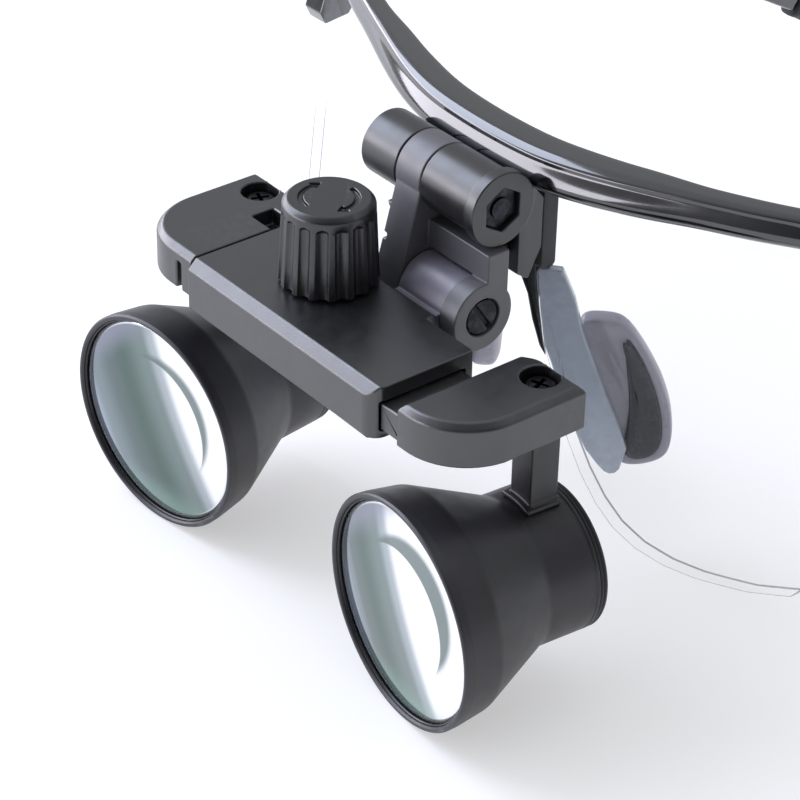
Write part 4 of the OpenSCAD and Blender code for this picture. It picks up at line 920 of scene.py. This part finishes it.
@dataclass
class BrowBar:
    """The curved bar over both eyes, thick over the nose and slim beside it.

    Its own millimetres start at the middle of its front top edge, and Y runs to the wearer.
    """

    back: float = 26.5
    up: float = 26.9
    tilt: float = 8.0
    curve_r: float = 102.0
    half_w: float = 58.8
    steps: int = 60
    # distance from the middle, and the section's depth and height there
    gauge: tuple[Triple, ...] = (
        (0.0, 6.2, 6.1), (12.0, 6.0, 6.1), (24.0, 5.2, 5.7), (36.0, 4.3, 5.2),
        (48.0, 4.0, 4.9), (60.0, 4.6, 4.9))
    # over the nose two facets and a step lead down the front: millimetres behind and below
    # the line of the bar's front
    leaning: tuple[Pair, ...] = (
        (0.3, 0.0), (1.6, 0.0), (3.2, 0.0), (3.65, 0.35), (3.75, 2.4), (3.6, 5.2), (3.0, 6.0),
        (0.3, 6.1), (-2.0, 5.4), (-2.9, 4.1), (-3.05, 3.3), (-1.65, 1.5), (-1.4, 1.2),
        (-1.3, 0.85), (-1.15, 0.5), (-0.2, 0.06))
    # how far the front bulges over the nose, and the section's full depth and height there
    bulge: float = 3.05
    full_depth: float = 6.8
    full_height: float = 6.1
    # at the ends the section is a rounded oblong: shares of the depth and the height
    oblong: tuple[Pair, ...] = (
        (0.2, 0.0), (0.5, 0.0), (0.8, 0.0), (1.0, 0.18), (1.0, 0.5), (1.0, 0.82), (0.8, 1.0),
        (0.5, 1.0), (0.2, 1.0), (0.0, 0.84), (0.0, 0.68), (0.0, 0.54), (0.0, 0.4), (0.0, 0.28),
        (0.02, 0.14), (0.07, 0.05))
    # distances from the middle over which the bulge fades and the end form comes
    bulge_fades: Pair = (8.0, 38.0)
    oblong_comes: Pair = (46.0, 55.0)

    def measure(self, x: float) -> tuple[float, float, float, float]:
        """Read the section's depth, height, share of the bulge and share of the end form.

        Args:
            x: The distance from the middle.

        Returns:
            Depth, height and the two shares.
        """
        run = abs(x)
        near, far = next(((a, b) for a, b in zip(self.gauge, self.gauge[1:]) if run <= b[0]),
                         self.gauge[-2:])
        ease = eased(run, near[0], far[0])
        return (near[1] + (far[1] - near[1]) * ease, near[2] + (far[2] - near[2]) * ease,
                1.0 - eased(run, *self.bulge_fades), eased(run, *self.oblong_comes))

    def build(self) -> None:
        """Sweep the section round the brow, then give each place its own form."""
        work = bmesh.new()
        mark = work.verts.layers.int.new("point")
        points = []
        for i, (behind, below) in enumerate(self.leaning):
            vert = work.verts.new((0.0, behind, -below))
            vert[mark] = i
            points.append(vert)
        face = work.faces.new(points)
        half = math.asin(self.half_w / self.curve_r)
        centre = Vector((0.0, self.curve_r, 0.0))
        bmesh.ops.rotate(work, verts=points, cent=centre, matrix=Matrix.Rotation(-half, 3, "Z"))
        bmesh.ops.spin(work, geom=[face] + points + list(face.edges), cent=centre,
                       axis=(0, 0, 1), angle=2 * half, steps=self.steps)
        for vert in work.verts:
            arm = vert.co - centre
            theta = math.atan2(arm.x, -arm.y)
            deep, high, lean, end = self.measure(self.curve_r * math.sin(theta))
            behind, below = self.leaning[vert[mark]]
            share, drop = self.oblong[vert[mark]]
            share = share * end + (behind + self.bulge) / self.full_depth * (1 - end)
            drop = drop * end + below / self.full_height * (1 - end)
            r = self.curve_r - (behind * lean + share * deep * (1 - lean))
            vert.co = centre + Vector((r * math.sin(theta), -r * math.cos(theta),
                                       -(below * lean + drop * high * (1 - lean))))
        place = Matrix.Translation((0, self.back, self.up)) @ turn(self.tilt, "X")
        settle(work, "brow_bar_swept", "frame", FRAME_GLOSS, place, "brow_bar",
               levels=2)


@dataclass
class NosePad:
    """One soft pad beside the nose with its dark plate, drawn flat in the plane of its strip."""

    side: Side
    out: float = 8.0
    back: float = 31.4
    turned_by: float = 45.0
    # the pad's edge, from its top inner corner round the outside
    edge: tuple[Pair, ...] = (
        (5.5, -2.0), (6.8, -1.6), (9.9, -1.6), (11.3, -2.2), (12.5, -3.4), (13.7, -5.1),
        (14.9, -7.0), (16.0, -9.0), (17.0, -11.0), (17.8, -13.1), (18.4, -15.1), (18.8, -17.1),
        (19.1, -19.6), (19.0, -21.8), (18.6, -23.2), (17.7, -24.2), (16.2, -25.0),
        (14.4, -25.5), (12.8, -25.6), (11.5, -25.0), (10.4, -23.4), (9.2, -20.2), (7.6, -15.4),
        (6.2, -10.4), (5.0, -5.6), (4.8, -3.0))
    # the pad's front face and its thickness before both faces are rounded off
    front_z: float = -0.5
    thick: float = 2.4
    # the steps in from the edge, each with its rise along the frame's Z
    crown: tuple[Pair, ...] = ((0.5, -0.55), (0.8, -0.42), (1.1, -0.26), (0.9, -0.1))
    dish: tuple[Pair, ...] = ((0.35, 0.42), (0.6, 0.06), (0.9, -0.2), (1.6, -0.3))
    # the dark plate that ties pad and strip: its edge, its face, its thickness and its steps
    plate: tuple[Pair, ...] = (
        (11.4, -3.6), (12.5, -4.7), (14.5, -8.0), (16.1, -11.8), (17.3, -15.8), (17.8, -19.4),
        (17.6, -21.8), (16.7, -23.4), (15.0, -24.3), (13.0, -24.3), (12.0, -22.8), (12.7, -18.8),
        (12.7, -13.6), (11.7, -8.2))
    plate_face: float = 0.1
    plate_thick: float = 1.2
    plate_roll: tuple[Pair, ...] = ((0.3, 0.22), (0.5, 0.12), (0.7, 0.06))

    @property
    def place(self) -> Matrix:
        """The pad's own frame in the beam's millimetres."""
        flip = Matrix.Scale(self.side.value, 4, (1, 0, 0))
        return (flip @ Matrix.Translation((self.out, self.back, 0))
                @ turn(self.turned_by, "Z") @ turn(90, "X"))

    @staticmethod
    def slab(outline: Sequence[Pair], base: float, rise: float
             ) -> tuple[Mesh, bmesh.types.BMFace]:
        """Draw an outline as a flat slab.

        Args:
            outline: Its corners.
            base: The height of its first face.
            rise: How far its second face lies from the first.

        Returns:
            The mesh and its second face.
        """
        work = bmesh.new()
        first = work.faces.new([work.verts.new((x, y, base)) for x, y in outline])
        grown = bmesh.ops.extrude_face_region(work, geom=[first])["geom"]
        second = next(g for g in grown if isinstance(g, bmesh.types.BMFace))
        bmesh.ops.translate(work, vec=(0, 0, rise), verts=list(second.verts))
        return work, second

    @staticmethod
    def raise_face(work: Mesh, face: bmesh.types.BMFace,
                   steps: Sequence[Pair]) -> None:
        """Round a face off in steps, each further in and further up."""
        for inward, up in steps:
            bmesh.ops.inset_region(work, faces=[face], thickness=inward, use_even_offset=True)
            bmesh.ops.translate(work, vec=(0, 0, up), verts=list(face.verts))

    def build(self) -> None:
        """Build the crowned pad with its soft dish, and the plate that lies in the dish."""
        word = self.side.word
        work, rear = self.slab(self.edge, self.front_z, -self.thick)
        front = next(f for f in work.faces if len(f.verts) > 4 and f is not rear)
        self.raise_face(work, rear, self.crown)
        self.raise_face(work, front, self.dish)
        settle(work, f"nose_pad_{word}_soft", "frame", PAD_SILICONE, self.place,
               f"nose_pad_{word}", levels=2)
        work, face = self.slab(self.plate, self.plate_face - self.plate_thick, self.plate_thick)
        self.raise_face(work, face, self.plate_roll)
        settle(work, f"nose_clip_{word}_plate", "frame", CLIP_DARK, self.place,
               f"nose_clip_{word}", levels=2)


@dataclass
class Temple:
    """One temple with its hinge pin and the soft sleeve behind the ear."""

    side: Side
    pin_x: float = 61.6265
    sleeve_out: float = 0.4
    straight_y: float = 141.998
    straight_z: float = -6.05
    tail_slope: float = 29.8
    start: float = 12.0
    section_sides: int = 36
    section_square: float = 0.55
    # distance along the sleeve, half its height and half its thickness
    gauge: tuple[Triple, ...] = (
        (0.02, 4.20, 2.05), (0.35, 4.52, 2.24), (1.6, 4.58, 2.28), (2.2, 4.4, 2.14),
        (2.8, 4.4, 2.14), (3.4, 4.54, 2.28), (4.6, 4.52, 2.28), (5.2, 4.34, 2.14),
        (5.8, 4.34, 2.14), (6.4, 4.48, 2.28), (7.6, 4.46, 2.28), (8.2, 4.28, 2.14),
        (8.8, 4.28, 2.14), (9.4, 4.42, 2.28), (14.0, 4.3, 2.28), (26.0, 4.04, 2.26),
        (38.0, 3.78, 2.24), (45.0, 3.6, 2.2), (47.3, 3.2, 2.02), (48.8, 2.3, 1.6),
        (49.45, 1.1, 0.9), (49.58, 0.4, 0.35))
    pin_edge: float = 0.05
    temple_edge: float = 0.5

    def sleeve(self) -> None:
        """Loft the sleeve: three grip grooves, a slow taper and a rounded tip."""
        axis = turn(-self.tail_slope, "X") @ turn(-90, "X")
        slope = math.radians(self.tail_slope)
        origin = Matrix.Translation((
            self.side.value * (self.pin_x + self.sleeve_out),
            self.straight_y + self.start * math.cos(slope),
            self.straight_z - self.start * math.sin(slope)))
        stations = [Matrix.Translation((0, 0, run)) @ Matrix.Diagonal((wide, high, 1.0, 1.0))
                    for run, high, wide in self.gauge]
        work = lofted(stations, self.section_sides, self.section_square)
        word = self.side.word
        settle(work, f"temple_sleeve_{word}_soft", f"temple_{word}_arm", SOFT_RUBBER,
               origin @ axis, f"temple_sleeve_{word}", levels=1)

    def build(self) -> None:
        """Dress the temple and its pin, and build the sleeve."""
        self.sleeve()
        dress(f"temple_pin_{self.side.word}", SCREW_STEEL, self.pin_edge)
        dress(f"temple_{self.side.word}", FRAME_GLOSS, self.temple_edge, 3)


@dataclass
class SpectacleFrame:
    """The brow bar, bridge, lenses, end blocks, nose unit and temples.

    Its sizes are the radii of the rounded edges in millimetres.
    """

    bridge_edge: float = 0.3
    lens_edge: float = 0.16
    block_edge: float = 0.18
    strip_edge: float = 0.3

    def build(self) -> None:
        """Build and dress every piece of the frame."""
        BrowBar().build()
        dress("nose_bridge", FRAME_SATIN, self.bridge_edge, 3)
        for side in Side:
            dress(f"lens_{side.word}", CLEAR_LENS, self.lens_edge, edge=LENS_EDGE)
            dress(f"end_block_{side.word}", FRAME_GLOSS, self.block_edge)
            dress(f"nose_arm_{side.word}", SMOKY_STRIP, self.strip_edge, 3)
            NosePad(side).build()
            Temple(side).build()


@dataclass(frozen=True)
class Studio:
    """The pale table, the soft lights and the photograph's camera."""

    azimuth_deg: float = 50.784
    elevation_deg: float = 33.154
    roll_deg: float = 1.346
    eye_mm: Triple = (254.494, -194.953, 202.226)
    lens_mm: float = 127.39
    sensor_mm: float = 36.0
    near_m: float = 0.01
    far_m: float = 50.0
    floor_m: float = 6.0
    aim_m: Triple = (0, -0.06, 0.03)
    low_air: float = 0.42
    high_air: float = 0.85
    # the way to the dark side of the room, its share, and where its shade starts and is full
    dark_way: Triple = (0.76, -0.54, 0.36)
    dark_share: float = 0.75
    dark_span: Pair = (0.35, 0.9)
    key_way: Triple = (-0.65, -0.34, 0.68)
    key_far: float = 1.2
    key_deg: float = 17.0
    key_light: float = 5.0
    wall_way: Triple = (-0.78, -0.62, 0.27)
    wall_far: float = 1.4
    wall_size: Pair = (3.2, 0.5)
    wall_light: float = 5.6

    def camera(self) -> None:
        """Place the camera where the photograph was taken from."""
        az, el, roll = (math.radians(a) for a in (self.azimuth_deg, self.elevation_deg,
                                                  self.roll_deg))
        right = Vector((math.cos(az), math.sin(az), 0))
        up = Vector((-math.sin(az) * math.sin(el), math.cos(az) * math.sin(el), math.cos(el)))
        axes = (right * math.cos(roll) + up * math.sin(roll),
                up * math.cos(roll) - right * math.sin(roll), right.cross(up))
        data = bpy.data.cameras.new("photo_camera")
        data.lens = self.lens_mm
        data.sensor_width = self.sensor_mm
        data.sensor_fit = "HORIZONTAL"
        data.clip_start = self.near_m
        data.clip_end = self.far_m
        obj = place_new("photo_camera", data)
        obj.matrix_world = Matrix.Translation(
            BEAM_MM @ Vector(self.eye_mm)) @ Matrix(axes).transposed().to_4x4()
        bpy.context.scene.camera = obj

    def floor(self) -> None:
        """Lay the pale table under the object."""
        mesh = bpy.data.meshes.new("table_top")
        work = bmesh.new()
        bmesh.ops.create_grid(work, x_segments=1, y_segments=1, size=self.floor_m)
        work.to_mesh(mesh)
        work.free()
        mesh.materials.append(TABLE_PAINT.build())
        place_new("table_top", mesh)

    def softbox(self, name: str, way: Triple, far: float,
                size: Pair, light: float, tint: str) -> None:
        """Hang one soft light and point it at the object.

        Args:
            name: The light's name.
            way: The direction in which it hangs.
            far: Its distance, in metres.
            size: Its width and height, in metres.
            light: Its brightness for each square metre.
            tint: Its colour as sRGB hex.
        """
        place = Vector(way).normalized() * far
        data = bpy.data.lights.new(name, "AREA")
        data.shape = "RECTANGLE"
        data.size, data.size_y = size
        data.energy = light * math.pi * size[0] * size[1]
        data.color = linear(tint)[:3]
        obj = place_new(name, data)
        obj.location = place
        obj.rotation_euler = (Vector(self.aim_m) - place).to_track_quat("-Z", "Y").to_euler()

    def air(self) -> None:
        """Fill the room with light that grows upwards and fades towards the dark front right."""
        world = bpy.data.worlds.new("studio_air")
        world.use_nodes = True
        tree = world.node_tree
        tree.nodes.clear()
        way = add_node(tree, "ShaderNodeTexCoord").outputs["Generated"]
        height = add_node(tree, "ShaderNodeSeparateXYZ", {}, {0: way}).outputs["Z"]
        power = add_node(tree, "ShaderNodeMapRange", {
            "To Min": self.low_air, "To Max": self.high_air}, {"Value": height})
        facing = add_node(tree, "ShaderNodeVectorMath", {
            "operation": "DOT_PRODUCT", 1: tuple(Vector(self.dark_way).normalized())}, {0: way})
        start, full = self.dark_span
        shade = add_node(tree, "ShaderNodeMapRange", {
            "interpolation_type": "SMOOTHSTEP", "From Min": start, "From Max": full,
            "To Min": 1.0, "To Max": 1.0 - self.dark_share}, {"Value": facing.outputs["Value"]})
        both = add_node(tree, "ShaderNodeMath", {"operation": "MULTIPLY"},
                        {0: power.outputs["Result"], 1: shade.outputs["Result"]})
        air = add_node(tree, "ShaderNodeBackground", {"Color": linear("#f6f8fd")},
                       {"Strength": both.outputs[0]})
        add_node(tree, "ShaderNodeOutputWorld", {}, {"Surface": air.outputs[0]})
        bpy.context.scene.world = world

    def build(self) -> None:
        """Set up camera, table, room, a soft box at the upper left and a low wall of light."""
        self.camera()
        self.floor()
        self.air()
        wide = 2 * self.key_far * math.tan(math.radians(self.key_deg))
        self.softbox("key_box", self.key_way, self.key_far, (wide, wide), self.key_light,
                     "#dfe8ff")
        self.softbox("left_wall", self.wall_way, self.wall_far, self.wall_size, self.wall_light,
                     "#f6f4ff")
        bpy.context.scene.view_settings.view_transform = "Standard"


def main() -> None:
    """Build the studio and every sub-assembly."""
    logging.basicConfig(level=logging.INFO, format="%(message)s")
    Studio().build()
    for side in Side:
        Telescope(side).build()
    CrossBeam().build()
    DoubleHinge().build()
    SpectacleFrame().build()


if __name__ == "__main__":
    main()
